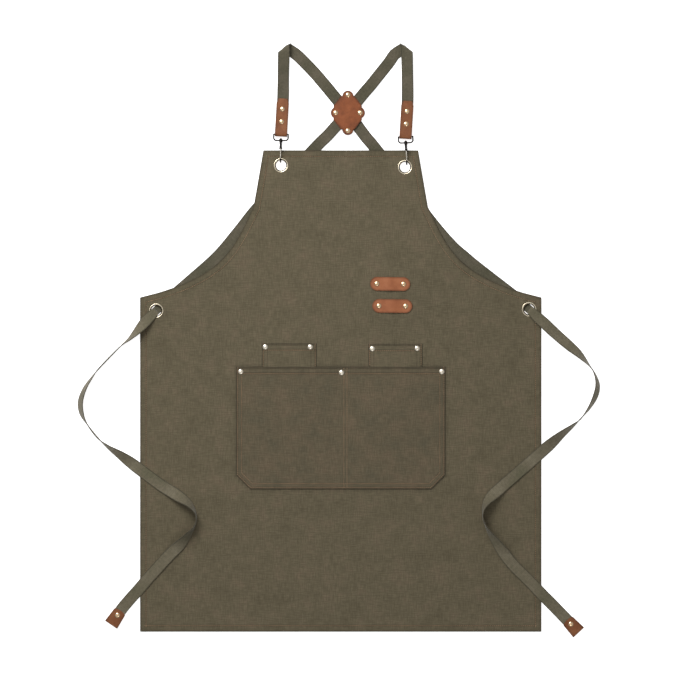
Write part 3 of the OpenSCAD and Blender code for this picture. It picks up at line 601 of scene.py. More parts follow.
# %% Sew the hems and the pockets
eyelet_room = [(x, y, 13) for x, y in TOP_EYELETS + SIDE_EYELETS]
MAIN_RIVETS = [(-170, -58), (1.3, -59.7), (171.8, -58)]
TOOL_RIVETS = [(-128.3, -16), (-51.9, -16), (53.6, -19), (130, -18.5)]
rivet_room = [(x, y, 5) for x, y in MAIN_RIVETS + TOOL_RIVETS]
coarse = dense(panel_outline, 8)
hem_seam = seam_line("hem_stitches", [closed(coarse + inward(coarse) * HEM_STITCH)], on_panel, eyelet_room)


def pocket_lines(x0, x1, top, bottom, corner, inset):
    return np.array([[x0 + inset, top], [x0 + inset, bottom + corner + 0.4 * inset],
                     [x0 + corner + 0.4 * inset, bottom + inset], [x1 - corner - 0.4 * inset, bottom + inset],
                     [x1 - inset, bottom + corner + 0.4 * inset], [x1 - inset, top]], float)


def on_main(x, y):
    return sample(main_top, x, y) - 0.02


main_seam = seam_line(
    "main_pocket_stitches",
    [pocket_lines(*MAIN, EDGE_STITCH), pocket_lines(*MAIN[:2], MAIN[2] - TOP_HEM, *MAIN[3:], INNER_STITCH),
     [[-168, MAIN[2] - TOP_HEM + 1.5], [168, MAIN[2] - TOP_HEM + 1.5]],
     *([[DIVIDER + s, -51], [DIVIDER + s, -255]] for s in (-TWIN_STITCH, TWIN_STITCH))],
    on_main, rivet_room)
tool_seams = []
for name, (x0, x1, top, _, _), field in (("left_tool_pocket_stitches", LEFT_TOOL, left_top),
                                         ("right_tool_pocket_stitches", RIGHT_TOOL, right_top)):
    tool_seams.append(seam_line(
        name, [[[x0 + 2.4, top], [x0 + 2.4, -48]], [[x1 - 2.4, top], [x1 - 2.4, -48]],
               [[x0 + 3, top - TOP_HEM + 1.5], [x1 - 3, top - TOP_HEM + 1.5]]],
        lambda x, y, field=field: sample(field, x, y) - 0.02, rivet_room))

# %% Say what the cloth pieces are
for piece, node in ((canvas, "canvas_panel"), (hem, None), (main_pouch, "main_pocket"),
                    (left_pouch, "left_tool_pocket"), (right_pouch, "right_tool_pocket"), (hem_seam, None),
                    (main_seam, None), (tool_seams[0], None), (tool_seams[1], None)):
    declare(piece, node)

# %% [markdown]
# ## Leather
#
# All leather is vegetable-tanned hide, cut with a knife and left with a raw edge. Each piece starts as a
# flat grid of its outside size. Straight cuts trim it, a row of cuts makes a round end, Solidify gives the
# thickness and a small bevel breaks the knife edge. Points are then moved to let it arch, sag or dent round
# its rivets.


# %% Tools for the leather
def cut(thing, cuts):
    """Takes away what lies beyond each plane, given as a point and the direction away from the piece."""
    only(thing)
    bpy.ops.object.mode_set(mode="EDIT")
    for point, away in cuts:
        bpy.ops.mesh.select_all(action="SELECT")
        bpy.ops.mesh.bisect(plane_co=mm(*point), plane_no=unit(np.array(away, float)), clear_outer=True)
    bpy.ops.object.mode_set(mode="OBJECT")


def round_end(centre, radius, facing):
    """Planes that touch a circle, over the half turn that faces one way along X or Y."""
    turns = np.radians(np.arange(-84, 85, 14)) + math.atan2(facing[1], facing[0])
    return [((centre[0] + radius * math.cos(a), centre[1] + radius * math.sin(a), 0),
             (math.cos(a), math.sin(a), 0)) for a in turns]


def leather_grid(name, width, length, cell):
    bpy.ops.mesh.primitive_grid_add(x_subdivisions=round(width / cell),
                                    y_subdivisions=round(length / cell), size=1)
    thing = bpy.context.object
    thing.name = thing.data.name = name
    bpy.ops.object.mode_set(mode="EDIT")
    bpy.ops.mesh.select_all(action="SELECT")
    bpy.ops.transform.resize(value=mm(width, length, 1), center_override=(0, 0, 0))
    bpy.ops.object.mode_set(mode="OBJECT")
    return thing


def reshape(thing, rule):
    """Moves every point by a rule on arrays of x, y and z in millimetres."""
    flat = np.zeros(len(thing.data.vertices) * 3)
    thing.data.vertices.foreach_get("co", flat)
    moved = np.stack(rule(*(flat.reshape(-1, 3) * 1000).T), 1)
    thing.data.vertices.foreach_set("co", (moved * 0.001).ravel())
    thing.data.update()


def finish(thing, at, turn=0):
    """Puts a piece that was made at the origin in its place, and leaves the object itself at the origin."""
    only(thing)
    thing.location, thing.rotation_euler = mm(*at), (0, 0, math.radians(turn))
    bpy.ops.object.transform_apply(location=True, rotation=True, scale=True)
    bpy.ops.object.shade_smooth_by_angle(angle=math.radians(40))
    thing.select_set(False)
    return thing


def dent(x, y, places, depth, width=5):
    return -sum(depth * np.exp(-((x - p[0])**2 + (y - p[1])**2) / width**2) for p in places)


# %% Tool loops on the chest
LOOP_LENGTH, LOOP_WIDTH, LOOP_THICKNESS, LOOP_RIVET = 68, 23.5, 1.8, 22.7
EDGE_BREAK = dict(width=0.0004, segments=3, limit_method="ANGLE", angle_limit=math.radians(50))


def tool_loop(name, at):
    thing = leather_grid(name, LOOP_LENGTH, LOOP_WIDTH, 1.5)
    centre = (LOOP_LENGTH - LOOP_WIDTH) / 2
    cut(thing, round_end((centre, 0), LOOP_WIDTH / 2, (1, 0))
        + round_end((-centre, 0), LOOP_WIDTH / 2, (-1, 0)))
    apply(thing, "SOLIDIFY", thickness=mm(LOOP_THICKNESS), offset=1)
    apply(thing, "BEVEL", **EDGE_BREAK)
    reshape(thing, lambda x, y, z: (x, y, z + 1.2 * np.cos(np.clip(x / 15, -1, 1) * np.pi / 2)**2
                                    + dent(x, y, [(-LOOP_RIVET, 0), (LOOP_RIVET, 0)], 0.25, 6)
                                    * (z > LOOP_THICKNESS / 2)))
    return finish(thing, (at[0], at[1], BIB_LEVEL + CLOTH), at[2])


loops = [tool_loop("upper_leather_loop", TOOL_LOOPS[0]), tool_loop("lower_leather_loop", TOOL_LOOPS[1])]

# %% Cross patch: four lobes over the crossing straps
PATCH_AT = (11.8, 381.7)
PATCH_RIVETS = [(-20.4, 0), (21.4, 0), (0.5, 30.5), (0.5, -30.6)]
LOBES = [(-19.2, 0), (19.8, 0), (0.4, 28), (0.4, -28.2)]
LOBE = 9.5
PATCH_BLOCK = (48, 56.8, 20)
BLOCK_CORNER, CORNER_CUT = (24, 12), (16.4, 12.5)


def patch_cutter():
    """The patch's outline as a tall solid: a trimmed block with four round posts joined to it."""
    bpy.ops.mesh.primitive_cube_add(size=1)
    core = bpy.context.object
    bpy.ops.object.mode_set(mode="EDIT")
    bpy.ops.mesh.select_all(action="SELECT")
    bpy.ops.transform.resize(value=mm(*PATCH_BLOCK), center_override=(0, 0, 0))
    for x, y in ((1, 1), (-1, 1), (1, -1), (-1, -1)):
        bpy.ops.mesh.select_all(action="SELECT")
        bpy.ops.mesh.bisect(plane_co=mm(BLOCK_CORNER[0] * x, BLOCK_CORNER[1] * y, 0),
                            plane_no=unit(np.array([CORNER_CUT[0] * x, CORNER_CUT[1] * y, 0])),
                            clear_outer=True, use_fill=True)
    bpy.ops.object.mode_set(mode="OBJECT")
    for x, y in LOBES:
        bpy.ops.mesh.primitive_cylinder_add(vertices=40, radius=mm(LOBE), depth=mm(18), location=mm(x, y, 0))
        post = bpy.context.object
        apply(core, "BOOLEAN", operation="UNION", object=post, solver="EXACT")
        bpy.data.objects.remove(post)
    return core


def cross_patch(name, base, thickness, droop):
    thing = leather_grid(name, 62, 80, 1.6)
    apply(thing, "SOLIDIFY", thickness=mm(thickness), offset=1)
    cutter = patch_cutter()
    apply(thing, "BOOLEAN", operation="INTERSECT", object=cutter, solver="EXACT")
    bpy.data.objects.remove(cutter)
    apply(thing, "BEVEL", **EDGE_BREAK)
    reshape(thing, lambda x, y, z: (x, y, z + droop * (0.55 - ((x / 31)**2 + (y / 40)**2))
                                    + dent(x, y, PATCH_RIVETS, 0.3 * abs(droop)) * (z > thickness / 2)))
    return finish(thing, (*PATCH_AT, base))


front_patch = cross_patch("cross_patch_leather", 5.55, 1.6, 0.5)
back_patch = cross_patch("cross_patch_backing", 0.82, 1.0, 0)
print("patch has", len(front_patch.data.polygons), "faces")


# %% Folded leather: a strip pushed out edge by edge round a fold
def folded(name, width, profile, cell=2.5):
    """profile is the strip's middle line, as y and z, from one free end round the fold to the other."""
    bpy.ops.mesh.primitive_plane_add(size=1)
    thing = bpy.context.object
    thing.name = thing.data.name = name
    (y0, z0), (y1, z1) = profile[:2]
    corners = [(-width / 2, y0, z0), (width / 2, y0, z0), (-width / 2, y1, z1), (width / 2, y1, z1)]
    for vertex, corner in zip(thing.data.vertices, corners):
        vertex.co = mm(*corner)
    for vertex in thing.data.vertices:
        vertex.select = vertex.index > 1
    for edge in thing.data.edges:
        edge.select = all(v > 1 for v in edge.vertices)
    thing.data.polygons[0].select = False
    bpy.ops.object.mode_set(mode="EDIT")
    bpy.ops.mesh.select_mode(type="EDGE")
    for (ya, za), (yb, zb) in zip(profile[1:], profile[2:]):
        bpy.ops.mesh.extrude_region_move(TRANSFORM_OT_translate={"value": mm(0, yb - ya, zb - za)})
    for x in np.arange(cell - width / 2, width / 2 - 0.5 * cell, cell):
        bpy.ops.mesh.select_all(action="SELECT")
        bpy.ops.mesh.bisect(plane_co=mm(x, 0, 0), plane_no=(1, 0, 0))
    bpy.ops.mesh.select_all(action="SELECT")
    bpy.ops.mesh.normals_make_consistent(inside=False)
    bpy.ops.object.mode_set(mode="OBJECT")
    return thing


def legs(reach, gap, bend, start, taper, step=3):
    """A fold round a bar at y = 0: the lower leg, a half turn and the upper leg."""
    out = [(y, gap) for y in np.arange(reach, taper, -step)] + [(taper, gap), (start, bend)]
    half_turn = [(-bend * math.sin(a), bend * math.cos(a)) for a in np.radians(np.arange(0, 181, 15))]
    return ([(y, -z) for y, z in out] + half_turn[::-1] + out[::-1])


TAB_LENGTH, TAB_WIDTH, TAB_LEATHER = 60.9, 21, 1.4
BARS = [(-101.5, 345), (110, 341)]
TAB_TURN = (-3.2, -3.4)
BAR_HEIGHT = 6.4
TAB_RIVETS = [(0, 21.6), (0, 43)]


def strap_tab(name, side):
    line = legs(TAB_LENGTH, 1.62, 3.1, 4, 13)
    thing = folded(name, TAB_WIDTH, line)
    half, end = TAB_WIDTH / 2, TAB_LENGTH
    cut(thing, [((s * half, end - 8, 0), (s * 8, 2.5, 0)) for s in (1, -1)])
    apply(thing, "SOLIDIFY", thickness=mm(TAB_LEATHER), offset=0)
    apply(thing, "BEVEL", **EDGE_BREAK)
    reshape(thing, lambda x, y, z: (
        x, y, z + dent(x, y, TAB_RIVETS, 0.25, 6) * np.sign(z) * (np.abs(z) > 1.9)))
    return finish(thing, (*BARS[side], BAR_HEIGHT), TAB_TURN[side])


tabs = [strap_tab("left_tab_leather", 0), strap_tab("right_tab_leather", 1)]

# %% Tie ends: the same fold, at the wide far edge
TIE_ENDS = [(-374, -464, -124), (384.6, -480, -47)]
TIE_END_LENGTH, TIE_END_NARROW, TIE_END_WIDE = 29, 22, 25
TIE_LEVEL = 3
TIE_RIVET = 9.5


def tie_end(name, side):
    fold = TIE_END_LENGTH - 2.2
    line = [(fold - y, z) for y, z in legs(fold, 1.55, 1.55, 0, 0.4)]
    thing = folded(name, TIE_END_WIDE, line)
    lean = (TIE_END_WIDE - TIE_END_NARROW) / 2
    flare = [((s * TIE_END_WIDE / 2, TIE_END_LENGTH, 0), (s * (TIE_END_LENGTH - 5), -lean, 0))
             for s in (1, -1)]
    nose = [((TIE_END_NARROW / 2 * math.sin(a), 4 - 4 * math.cos(a), 0),
             (4 * math.sin(a), -11 * math.cos(a), 0))
            for a in np.radians(np.arange(-80, 81, 20))]
    cut(thing, flare + nose)
    apply(thing, "SOLIDIFY", thickness=mm(TAB_LEATHER), offset=0)
    apply(thing, "BEVEL", **EDGE_BREAK)
    reshape(thing, lambda x, y, z: (
        x, y, z + dent(x, y, [(0, TIE_RIVET)], 0.2, 5) * np.sign(z) * (np.abs(z) > 1.8)))
    x, y, turn = TIE_ENDS[side]
    return finish(thing, (x, y, TIE_LEVEL), turn - 90)


tie_ends = [tie_end("left_tie_leather", 0), tie_end("right_tie_leather", 1)]

# %% Say what the leather pieces are
for piece, node in ((loops[0], "upper_tool_loop"), (loops[1], "lower_tool_loop"),
                    (front_patch, "patch_front"),
                    (back_patch, "patch_back"), (tabs[0], "left_strap_tab"), (tabs[1], "right_strap_tab"),
                    (tie_ends[0], "left_tie_end"), (tie_ends[1], "right_tie_end")):
    declare(piece, node)
    print(piece.name, len(piece.data.polygons), "faces")

# %% [markdown]
# ## Rivets and eyelets
#
# Both are turned shapes. A ring of edges is laid out as the section, spun once round, and merged where it
# closes. One rivet is made and copied to each place, each copy with its own mesh, and the copies of one
# group are joined.


# %% Spin a section
def spun(name, section, steps):
    """section is a closed line of radius and height, in millimetres."""
    bpy.ops.mesh.primitive_circle_add(vertices=len(section), radius=1, fill_type="NOTHING")
    thing = bpy.context.object
    thing.name = thing.data.name = name
    for vertex, (radius, height) in zip(thing.data.vertices, section):
        vertex.co = mm(radius, 0, height)
    bpy.ops.object.mode_set(mode="EDIT")
    bpy.ops.mesh.select_all(action="SELECT")
    bpy.ops.mesh.spin(steps=steps, angle=2 * math.pi, center=(0, 0, 0), axis=(0, 0, 1))
    bpy.ops.mesh.select_all(action="SELECT")
    bpy.ops.mesh.remove_doubles(threshold=0.00002)
    bpy.ops.mesh.normals_make_consistent(inside=False)
    bpy.ops.object.mode_set(mode="OBJECT")
    bpy.ops.object.shade_smooth_by_angle(angle=math.radians(45))
    return thing


def copies(name, pattern, places):
    made = []
    for place in places:
        one = pattern.copy()
        one.data = pattern.data.copy()
        bpy.context.scene.collection.objects.link(one)
        one.location = mm(*place)
        made.append(one)
    bpy.ops.object.select_all(action="DESELECT")
    for one in made:
        one.select_set(True)
    bpy.context.view_layer.objects.active = made[0]
    bpy.ops.object.transform_apply(location=True, rotation=True, scale=True)
    if len(made) > 1:
        bpy.ops.object.join()
    made[0].name = made[0].data.name = name
    bpy.ops.object.select_all(action="DESELECT")
    return made[0]


# %% The rivets of each group
CAP = [(0, 1.6), (1.3, 1.5), (2.5, 1.21), (3.5, 0.8), (4.15, 0.42), (4.4, 0.2), (4.36, 0.05), (4.15, 0)]
POST = 1.55


def rivet_pattern(depth):
    return spun("rivet_pattern", CAP + [(POST, 0), (POST, -depth), (0, -depth)], 32)


def turned_place(x, y, turn, at):
    c, s = math.cos(math.radians(turn)), math.sin(math.radians(turn))
    return at[0] + c * x - s * y, at[1] + s * x + c * y


TAB_SKIN = FACE + TAB_LEATHER
groups = [
    ("main_pocket_caps", "main_pocket_rivets", 2, [(x, y, 3) for x, y in MAIN_RIVETS]),
    ("tool_pocket_caps", "tool_pocket_rivets", 2, [(x, y, 3) for x, y in TOOL_RIVETS]),
    ("tool_loop_caps", "tool_loop_rivets", 2.8,
     [(*turned_place(s * LOOP_RIVET, 0, t, (x, y)), 7.1) for x, y, t in TOOL_LOOPS for s in (-1, 1)]),
    ("cross_patch_caps", "patch_rivets", 6.3,
     [(PATCH_AT[0] + x, PATCH_AT[1] + y, 7.1) for x, y in PATCH_RIVETS]),
]
for side, label in enumerate(("left", "right")):
    groups.append((f"{label}_tab_caps", f"{label}_tab_rivets", 4.4,
                   [(*turned_place(x, y, TAB_TURN[side], BARS[side]), BAR_HEIGHT + TAB_SKIN)
                    for x, y in TAB_RIVETS]))
    x, y, turn = TIE_ENDS[side]
    groups.append((f"{label}_tie_cap", f"{label}_tie_end_rivet", 5.0,
                   [(*turned_place(TIE_RIVET, 0, turn, (x, y)), TIE_LEVEL + TAB_SKIN)]))
caps = {}
for name, node, depth, places in groups:
    pattern = rivet_pattern(depth)
    caps[name] = copies(name, pattern, places)
    bpy.data.objects.remove(pattern)
    declare(caps[name], node)
print(sum(len(g[3]) for g in groups), "rivets")

# %% The four eyelets: a domed flange, a dip and a rolled lip
EYELET = [(12.25, 5.3), (12.3, 5.5), (12.15, 5.78), (11.8, 5.98), (11.35, 6.05), (10.9, 5.98), (10.55, 5.78),
          (10.35, 5.5), (10.15, 5.42), (9.95, 5.5), (9.75, 5.72), (9.45, 5.86), (9.1, 5.8), (8.85, 5.6),
          (8.75, 5.3), (8.75, 3.8), (8.9, 3.68), (9.25, 3.7), (9.35, 3.9), (9.35, 5.2), (9.6, 5.3)]
RECESS, FLANGE_RIM = 10.2, 12.0
eyelets = []
eyelet_pattern = spun("eyelet_pattern", EYELET, 64)
for node, (x, y) in zip(("left_top_eyelet", "right_top_eyelet", "left_side_eyelet", "right_side_eyelet"),
                        TOP_EYELETS + SIDE_EYELETS):
    ring_piece = copies(node.replace("eyelet", "brass_eyelet"), eyelet_pattern, [(x, y, 0)])
    declare(ring_piece, node)
    eyelets.append((ring_piece, (x, y)))
bpy.data.objects.remove(eyelet_pattern)

# %% [markdown]
# ## Finishes
#
# Every finish is a node tree on the piece's own coordinates, in metres. Colours are given as sRGB hex
# values, which one function turns to linear.


# %% Colour and node tools
def linear(hexcode, alpha=1):
    """An sRGB hex value as linear light."""
    channels = [int(hexcode[i:i + 2], 16) / 255 for i in (1, 3, 5)]
    return [c / 12.92 if c <= 0.04045 else ((c + 0.055) / 1.055)**2.4 for c in channels] + [alpha]


def add_node(tree, kind, constants=None, links=None, **settings):
    """Adds a node: its settings, its sockets' constants, and the outputs that feed its sockets."""
    made = tree.nodes.new(kind)
    for key, value in settings.items():
        setattr(made, key, value)
    for key, value in (constants or {}).items():
        made.inputs[key].default_value = value
    for key, source in (links or {}).items():
        tree.links.new(source, made.inputs[key])
    return made


def new_finish(name, **constants):
    made = bpy.data.materials.new(name)
    made.use_nodes = True
    shader = made.node_tree.nodes["Principled BSDF"]
    for key, value in constants.items():
        shader.inputs[key.replace("_", " ")].default_value = value
    return made, made.node_tree, shader


def noise(tree, place, scale, detail, **more):
    return add_node(tree, "ShaderNodeTexNoise", {"Scale": scale, "Detail": detail, **more},
                    {"Vector": place}).outputs["Fac"]


def bands(tree, place, pitch, wobble, way):
    """Light and dark bands that repeat every pitch millimetres along X or Y."""
    return add_node(tree, "ShaderNodeTexWave",
                    {"Scale": math.pi / 10 / (0.001 * pitch), "Distortion": wobble},
                    {"Vector": place}, bands_direction=way).outputs["Fac"]


def span(tree, source, low, high, start=0.0, end=1.0):
    """Turns the range from start to end into the range from low to high."""
    return add_node(tree, "ShaderNodeMapRange",
                    {"From Min": start, "From Max": end, "To Min": low, "To Max": high},
                    {"Value": source}).outputs[0]


def maths(tree, operation, *sources):
    return add_node(tree, "ShaderNodeMath", None, dict(enumerate(sources)), operation=operation).outputs[0]


def ramp(tree, source, stops):
    made = add_node(tree, "ShaderNodeValToRGB", links={"Fac": source})
    elements = made.color_ramp.elements
    while len(elements) < len(stops):
        elements.new(0.5)
    for element, (place, hexcode) in zip(elements, stops):
        element.position, element.color = place, linear(hexcode)
    return made.outputs["Color"]


def tint(tree, shader, base, factor):
    """The base colour made lighter or darker by a factor."""
    colour = add_node(tree, "ShaderNodeVectorMath", None, {0: base, "Scale": factor}, operation="SCALE")
    tree.links.new(colour.outputs[0], shader.inputs["Base Color"])


def emboss(tree, shader, height, strength, distance):
    bump = add_node(tree, "ShaderNodeBump", {"Strength": strength, "Distance": distance}, {"Height": height})
    tree.links.new(bump.outputs[0], shader.inputs["Normal"])


def own_place(tree):
    return add_node(tree, "ShaderNodeTexCoord").outputs["Object"]


def marked(tree, name):
    return add_node(tree, "ShaderNodeAttribute", attribute_name=name).outputs["Fac"]


# %% [markdown]
# ### Washed cotton canvas
#
# A heavy plain weave, dyed olive and washed, so its tone wanders between brown and green, single slubby
# threads run lighter up and down and across, and the stitch lines and edges are painted darker: a little
# darker dye at the edges, and painted shade in the grooves, along the edges and round the pockets. The
# threads are
# 0.6 mm, too fine to show from here, so the weave is drawn at a 1.3 mm pitch. It has no shine, only a faint
# fuzz.

# %% Canvas
WEAVE_PITCH = 1.3
WARP_SLUBS, WEFT_SLUBS = (620, 60, 1), (70, 560, 1)


def canvas_finish(name, low, middle, high):
    made, tree, shader = new_finish(name, Roughness=0.92, Specular_IOR_Level=0.18, Sheen_Weight=0.12,
                                    Sheen_Roughness=0.5)
    place = own_place(tree)
    base = ramp(tree, noise(tree, place, 26, 9, Roughness=0.74), [(0.28, low), (0.5, middle), (0.72, high)])
    warp_slub, weft_slub = [
        noise(tree, add_node(tree, "ShaderNodeMapping", {"Scale": stretch},
                             {"Vector": place}).outputs[0], 1, 2)
        for stretch in (WARP_SLUBS, WEFT_SLUBS)]
    slub = maths(tree, "MULTIPLY", warp_slub, weft_slub)
    over = maths(tree, "SUBTRACT", *(bands(tree, place, WEAVE_PITCH, 0.6, way) for way in "XY"))
    weave = maths(tree, "ABSOLUTE", over)
    light = maths(tree, "MULTIPLY", span(tree, slub, 0.86, 1.13, 0.16, 0.36), span(tree, weave, 0.88, 1.08))
    # Darkens to 0.44 along the point attribute: painted shade in grooves, along edges and round the pockets,
    # with a little darker dye.
    tint(tree, shader, base, maths(tree, "MULTIPLY", light, span(tree, marked(tree, "seam_dye_and_shade"), 1, 0.44)))
    emboss(tree, shader, maths(tree, "ADD", weave, slub), 0.35, 0.0004)
    return made


panel_canvas = canvas_finish("cotton_canvas_washed_olive", "#59513F", "#625A47", "#6C5F4D")
pocket_canvas = canvas_finish("cotton_canvas_pocket_olive", "#555040", "#5F5644", "#6A5C4A")

# %% [markdown]
# ### Cotton webbing
#
# A narrow band woven with a heavy weft, so fine ribs cross it every 1.6 mm, and its two edges are painted
# darker, as painted shade along its outline. It is a little greener than the canvas, and the ties get a
# paler copy of the finish than the straps: painted light, making up for the shade their twisted lengths fall
# into. The pattern reads the UV map, which is in metres across and along.

# %% Webbing
RIB_PITCH, CORD_PITCH = 1.6, 2.2
# Painted shade: the band across the webbing, in metres from its middle, over which its edges are darkened.
EDGE_SHADE_BAND = (0.0078, 0.0099)


def webbing_finish(name, low, middle, high):
    made, tree, shader = new_finish(name, Roughness=0.88, Specular_IOR_Level=0.2, Sheen_Weight=0.15,
                                    Sheen_Roughness=0.45)
    weave_map = add_node(tree, "ShaderNodeUVMap", uv_map="WeaveMap").outputs[0]
    ribs, cords = bands(tree, weave_map, RIB_PITCH, 0.5, "Y"), bands(tree, weave_map, CORD_PITCH, 0.4, "X")
    relief_sum = add_node(tree, "ShaderNodeMath", {1: 0.6}, {0: cords, 2: ribs},
                          operation="MULTIPLY_ADD").outputs[0]
    across = add_node(tree, "ShaderNodeSeparateXYZ", None, {0: weave_map}).outputs["X"]
    # Painted shade: the outer edges of the webbing are darkened to half.
    edge_shade = span(tree, maths(tree, "ABSOLUTE", across), 1, 0.5, *EDGE_SHADE_BAND)
    fuzz = span(tree, noise(tree, weave_map, 260, 3), 0.86, 1.14, 0.3, 0.7)
    light = maths(tree, "MULTIPLY", span(tree, relief_sum, 0.74, 1.16, 0, 1.6), fuzz)
    base = ramp(tree, noise(tree, weave_map, 22, 3), [(0.32, low), (0.5, middle), (0.68, high)])
    tint(tree, shader, base, maths(tree, "MULTIPLY", light, edge_shade))
    emboss(tree, shader, relief_sum, 0.5, 0.0004)
    return made


strap_webbing = webbing_finish("cotton_webbing_strap_olive", "#504D3D", "#595445", "#625B4D")
# Painted light: the ties get a paler copy of the straps' webbing finish.
tie_webbing_painted_lighter = webbing_finish("cotton_webbing_tie_olive_painted_lighter", "#605C49", "#6B6452", "#756E5C")

# %% [markdown]
# ### Leather, thread and metal
#
# The leather is vegetable-tanned and waxed: an even reddish tan with a fine grain, faint clouds and a soft
# sheen. An attribute called rim marks the band beside a cut that is painted darker: partly a burnished edge,
# and partly painted shade along the outline. The raw cut itself is darker still. The thread is a heavy waxed
# polyester. The rivets are pale polished brass, brushed on the pockets. The eyelets are satin brass, and a
# dark brass in the lip and under the flange is painted shade, which draws a thin dark line inside and outside
# the bright ring. The hooks are steel with a black nickel plate, and their gates are plain bright nickel.


# %% Leather
def leather_finish(name, low, middle, high, roughness):
    made, tree, shader = new_finish(name, Roughness=roughness, Specular_IOR_Level=0.2, Coat_Weight=0.02,
                                    Coat_Roughness=0.35)
    place = own_place(tree)
    base = ramp(tree, noise(tree, place, 55, 6, Roughness=0.6), [(0.32, low), (0.5, middle), (0.7, high)])
    # The rim band is painted darker, down to 0.42: a burnished edge and painted shade along the outline.
    tint(tree, shader, base, span(tree, marked(tree, "rim"), 1.02, 0.42))
    grain = add_node(tree, "ShaderNodeTexVoronoi", {"Scale": 950.0}, {"Vector": place}).outputs["Distance"]
    emboss(tree, shader, maths(tree, "ADD", grain, noise(tree, place, 700, 4)), 0.3, 0.0003)
    return made


tab_leather = leather_finish("leather_vegetable_tanned_waxed", "#6B3F26", "#794A2D", "#875637", 0.55)
patch_leather = leather_finish("leather_vegetable_tanned_patch", "#6E3D24", "#804728", "#925432", 0.55)
loop_leather = leather_finish("leather_vegetable_tanned_light", "#8C5437", "#975D3D", "#A06645", 0.55)
edge_leather = leather_finish("leather_raw_cut_edge", "#5A3524", "#6B4230", "#7A4E39", 0.75)


# %% Thread and metals
def metal_finish(name, colour, roughness, wear):
    """A plated or polished metal whose roughness wanders with fine handling marks."""
    made, tree, shader = new_finish(name, Metallic=1.0, Base_Color=linear(colour))
    marks = noise(tree, own_place(tree), 900, 4)
    tree.links.new(span(tree, marks, roughness - wear, roughness + wear, 0.3, 0.7),
                   shader.inputs["Roughness"])
    emboss(tree, shader, marks, 0.06, 0.0001)
    return made


brass = metal_finish("brass_pale_polished", "#EBCBA4", 0.22, 0.05)
pocket_brass = metal_finish("brass_pale_brushed", "#F1E8D6", 0.34, 0.06)
eyelet_brass = metal_finish("brass_pale_satin", "#E6DAC0", 0.3, 0.06)
# Painted shade: a dark brass for the eyelets' lip and the edge under the flange.
eyelet_painted_shade = metal_finish("brass_painted_shade_in_recess", "#3A3226", 0.5, 0.08)
black_nickel = metal_finish("steel_black_nickel_plated", "#2B2927", 0.32, 0.07)
bright_nickel = metal_finish("steel_bright_nickel_plated", "#D9D3C6", 0.22, 0.05)
spring_steel = metal_finish("spring_steel_drawn", "#9A978F", 0.35, 0.06)
thread, tree, shader = new_finish("polyester_thread_waxed", Roughness=0.6, Specular_IOR_Level=0.3)
tree.links.new(ramp(tree, noise(tree, own_place(tree), 60, 3), [(0.3, "#7C644D"), (0.7, "#957A5E")]),
               shader.inputs["Base Color"])


# %% Give every piece its finish
def dress(thing, *finishes):
    thing.data.materials.clear()
    for one in finishes:
        thing.data.materials.append(one)


for piece in (canvas, hem, left_pouch, right_pouch):
    dress(piece, panel_canvas)
dress(main_pouch, pocket_canvas)
for pieces, finish_of in (((left_strap, right_strap), strap_webbing), ((left_tie, right_tie), tie_webbing_painted_lighter)):
    for piece in pieces:
        dress(piece, finish_of)
for piece in (hem_seam, main_seam, *tool_seams):
    dress(piece, thread)
for pieces, finish_of in ((loops, loop_leather), ((front_patch, back_patch), patch_leather),
                          (tabs + tie_ends, tab_leather)):
    for piece in pieces:
        dress(piece, finish_of, edge_leather)
for name, piece in caps.items():
    dress(piece, pocket_brass if "pocket" in name else brass)
for ring_piece, (x, y) in eyelets:
    # The second finish, the dark brass, goes in the dip and beyond the flange's rim: painted shade.
    dress(ring_piece, eyelet_brass, eyelet_painted_shade)
    for face in ring_piece.data.polygons:
        radius = 1000 * math.hypot(face.center[0] - mm(x), face.center[1] - mm(y))
        face.material_index = int(radius < RECESS or radius > FLANGE_RIM)
for node, thing in nodes.items():
    if "rivet_backs" in node or "washer" in node:
        dress(thing, brass)
    elif node.endswith("hook_gate"):
        dress(thing, bright_nickel)
    elif node.endswith("gate_spring"):
        dress(thing, spring_steel)
    elif node.endswith(("hook_loop", "snap_hook", "gate_pin")):
        dress(thing, black_nickel)


# %% The raw edge of the leather: upright faces, and beside them a rim of burnish and painted shade
# Width of the band beside each cut that is painted darker, burnish and painted shade.
RIM_SHADE_WIDTH = 3.2


def mark_edges(thing, steep, across=None):
    """across limits the edge to faces that look that way, so that a fold keeps its smooth side."""
    normals = np.array([face.normal for face in thing.data.polygons])
    upright = np.abs(normals[:, 2]) < steep
    if across is not None:
        upright &= np.abs(normals @ np.array(across)) > 0.6
    thing.data.polygons.foreach_set("material_index", upright.astype(np.int32))
    centres = [face.center for face, edge in zip(thing.data.polygons, upright) if edge]
    finder = KDTree(len(centres))
    for index, centre in enumerate(centres):
        finder.insert(centre, index)
    finder.balance()
    rim = thing.data.attributes.new("rim", "FLOAT", "POINT")
    for vertex in thing.data.vertices:
        distance = 1000 * math.dist(vertex.co[:2], finder.find(vertex.co)[0][:2])
        rim.data[vertex.index].value = max(0, 1 - distance / RIM_SHADE_WIDTH)
    thing.data.update()


for piece in (*loops, front_patch, back_patch):
    mark_edges(piece, 0.5)
for turn, piece in zip(TAB_TURN, tabs):
    mark_edges(piece, 0.7, (math.cos(math.radians(turn)), math.sin(math.radians(turn)), 0))
for (_, _, turn), piece in zip(TIE_ENDS, tie_ends):
    mark_edges(piece, 0.7, (-math.sin(math.radians(turn)), math.cos(math.radians(turn)), 0))

# %% [markdown]
#
# Each waist tie is a flat length of webbing. It leaves the side eyelet and ends in a leather fitting with one
# rivet, and it lies limp on the cloth and the floor.

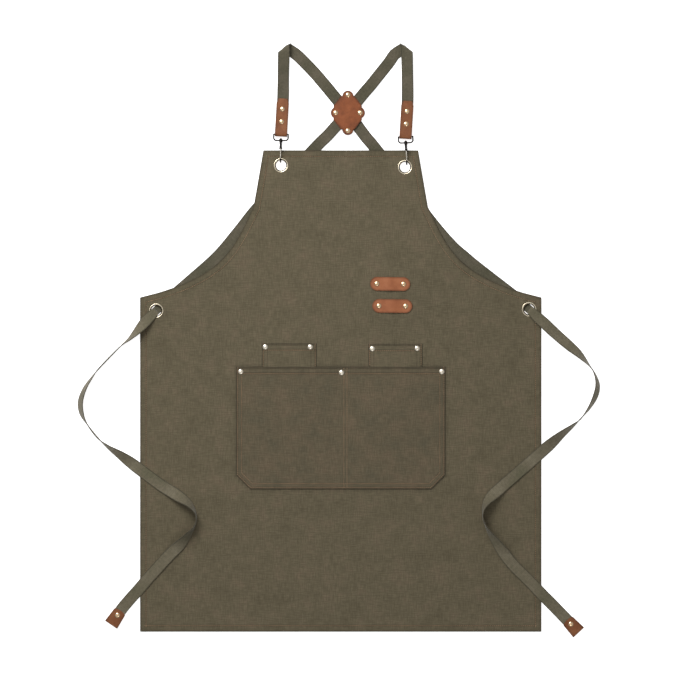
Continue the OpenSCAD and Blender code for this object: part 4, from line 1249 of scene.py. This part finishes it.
# %% [markdown]
# ## Floor and light
#
# The apron lies on a white table under soft light. The key light is large and stands up and to the left, so
# the bib is a little brighter than the lower corner, and a second, smaller one below gives the metal its
# bright spots. The table glows faintly, so that it stays white under the soft shadows, and is clear from
# below.

# %% The table
bpy.ops.mesh.primitive_plane_add(size=12, location=mm(0, 0, -0.5))
table = bpy.context.object
table.name = "white_table"
table_finish, tree, shader = new_finish("matt_white_laminate", Roughness=0.9, Specular_IOR_Level=0.1,
                                        Base_Color=linear("#F4F4F4"), Emission_Color=(1, 1, 1, 1),
                                        Emission_Strength=0.75)
below = add_node(tree, "ShaderNodeNewGeometry").outputs["Backfacing"]
clear = add_node(tree, "ShaderNodeBsdfTransparent").outputs[0]
chosen = add_node(tree, "ShaderNodeMixShader", None, {0: below, 1: shader.outputs[0], 2: clear}).outputs[0]
tree.links.new(chosen, tree.nodes["Material Output"].inputs["Surface"])
dress(table, table_finish)


# %% Lights
def softbox(name, place, size, power):
    """An area light that looks at the middle of the apron."""
    bpy.ops.object.light_add(type="AREA", location=place)
    lamp = bpy.context.object
    lamp.name = name
    lamp.data.shape, lamp.data.size, lamp.data.energy = "SQUARE", size, power
    x, y, z = place
    lamp.rotation_euler = (math.atan2(math.hypot(x, y), z), 0, math.atan2(x, -y) if x or y else 0)
    lamp.visible_camera = False
    return lamp


softbox("key_softbox", (-0.8, 1.3, 1.75), 1.2, 44)
softbox("low_softbox", (0.3, -1.9, 2.3), 0.45, 6)
world = bpy.data.worlds.new("studio") if not bpy.context.scene.world else bpy.context.scene.world
bpy.context.scene.world = world
world.use_nodes = True
sky = world.node_tree
up = add_node(sky, "ShaderNodeSeparateXYZ", None,
              {0: add_node(sky, "ShaderNodeTexCoord").outputs["Generated"]}).outputs["Z"]
sky.links.new(span(sky, up, 0.1, 0.6, 0.1, 0.95), sky.nodes["Background"].inputs["Strength"])
sky.nodes["Background"].inputs["Color"].default_value = (1, 1, 1, 1)
bpy.context.scene.view_settings.view_transform = "Standard"
bpy.context.scene.view_settings.look = "None"
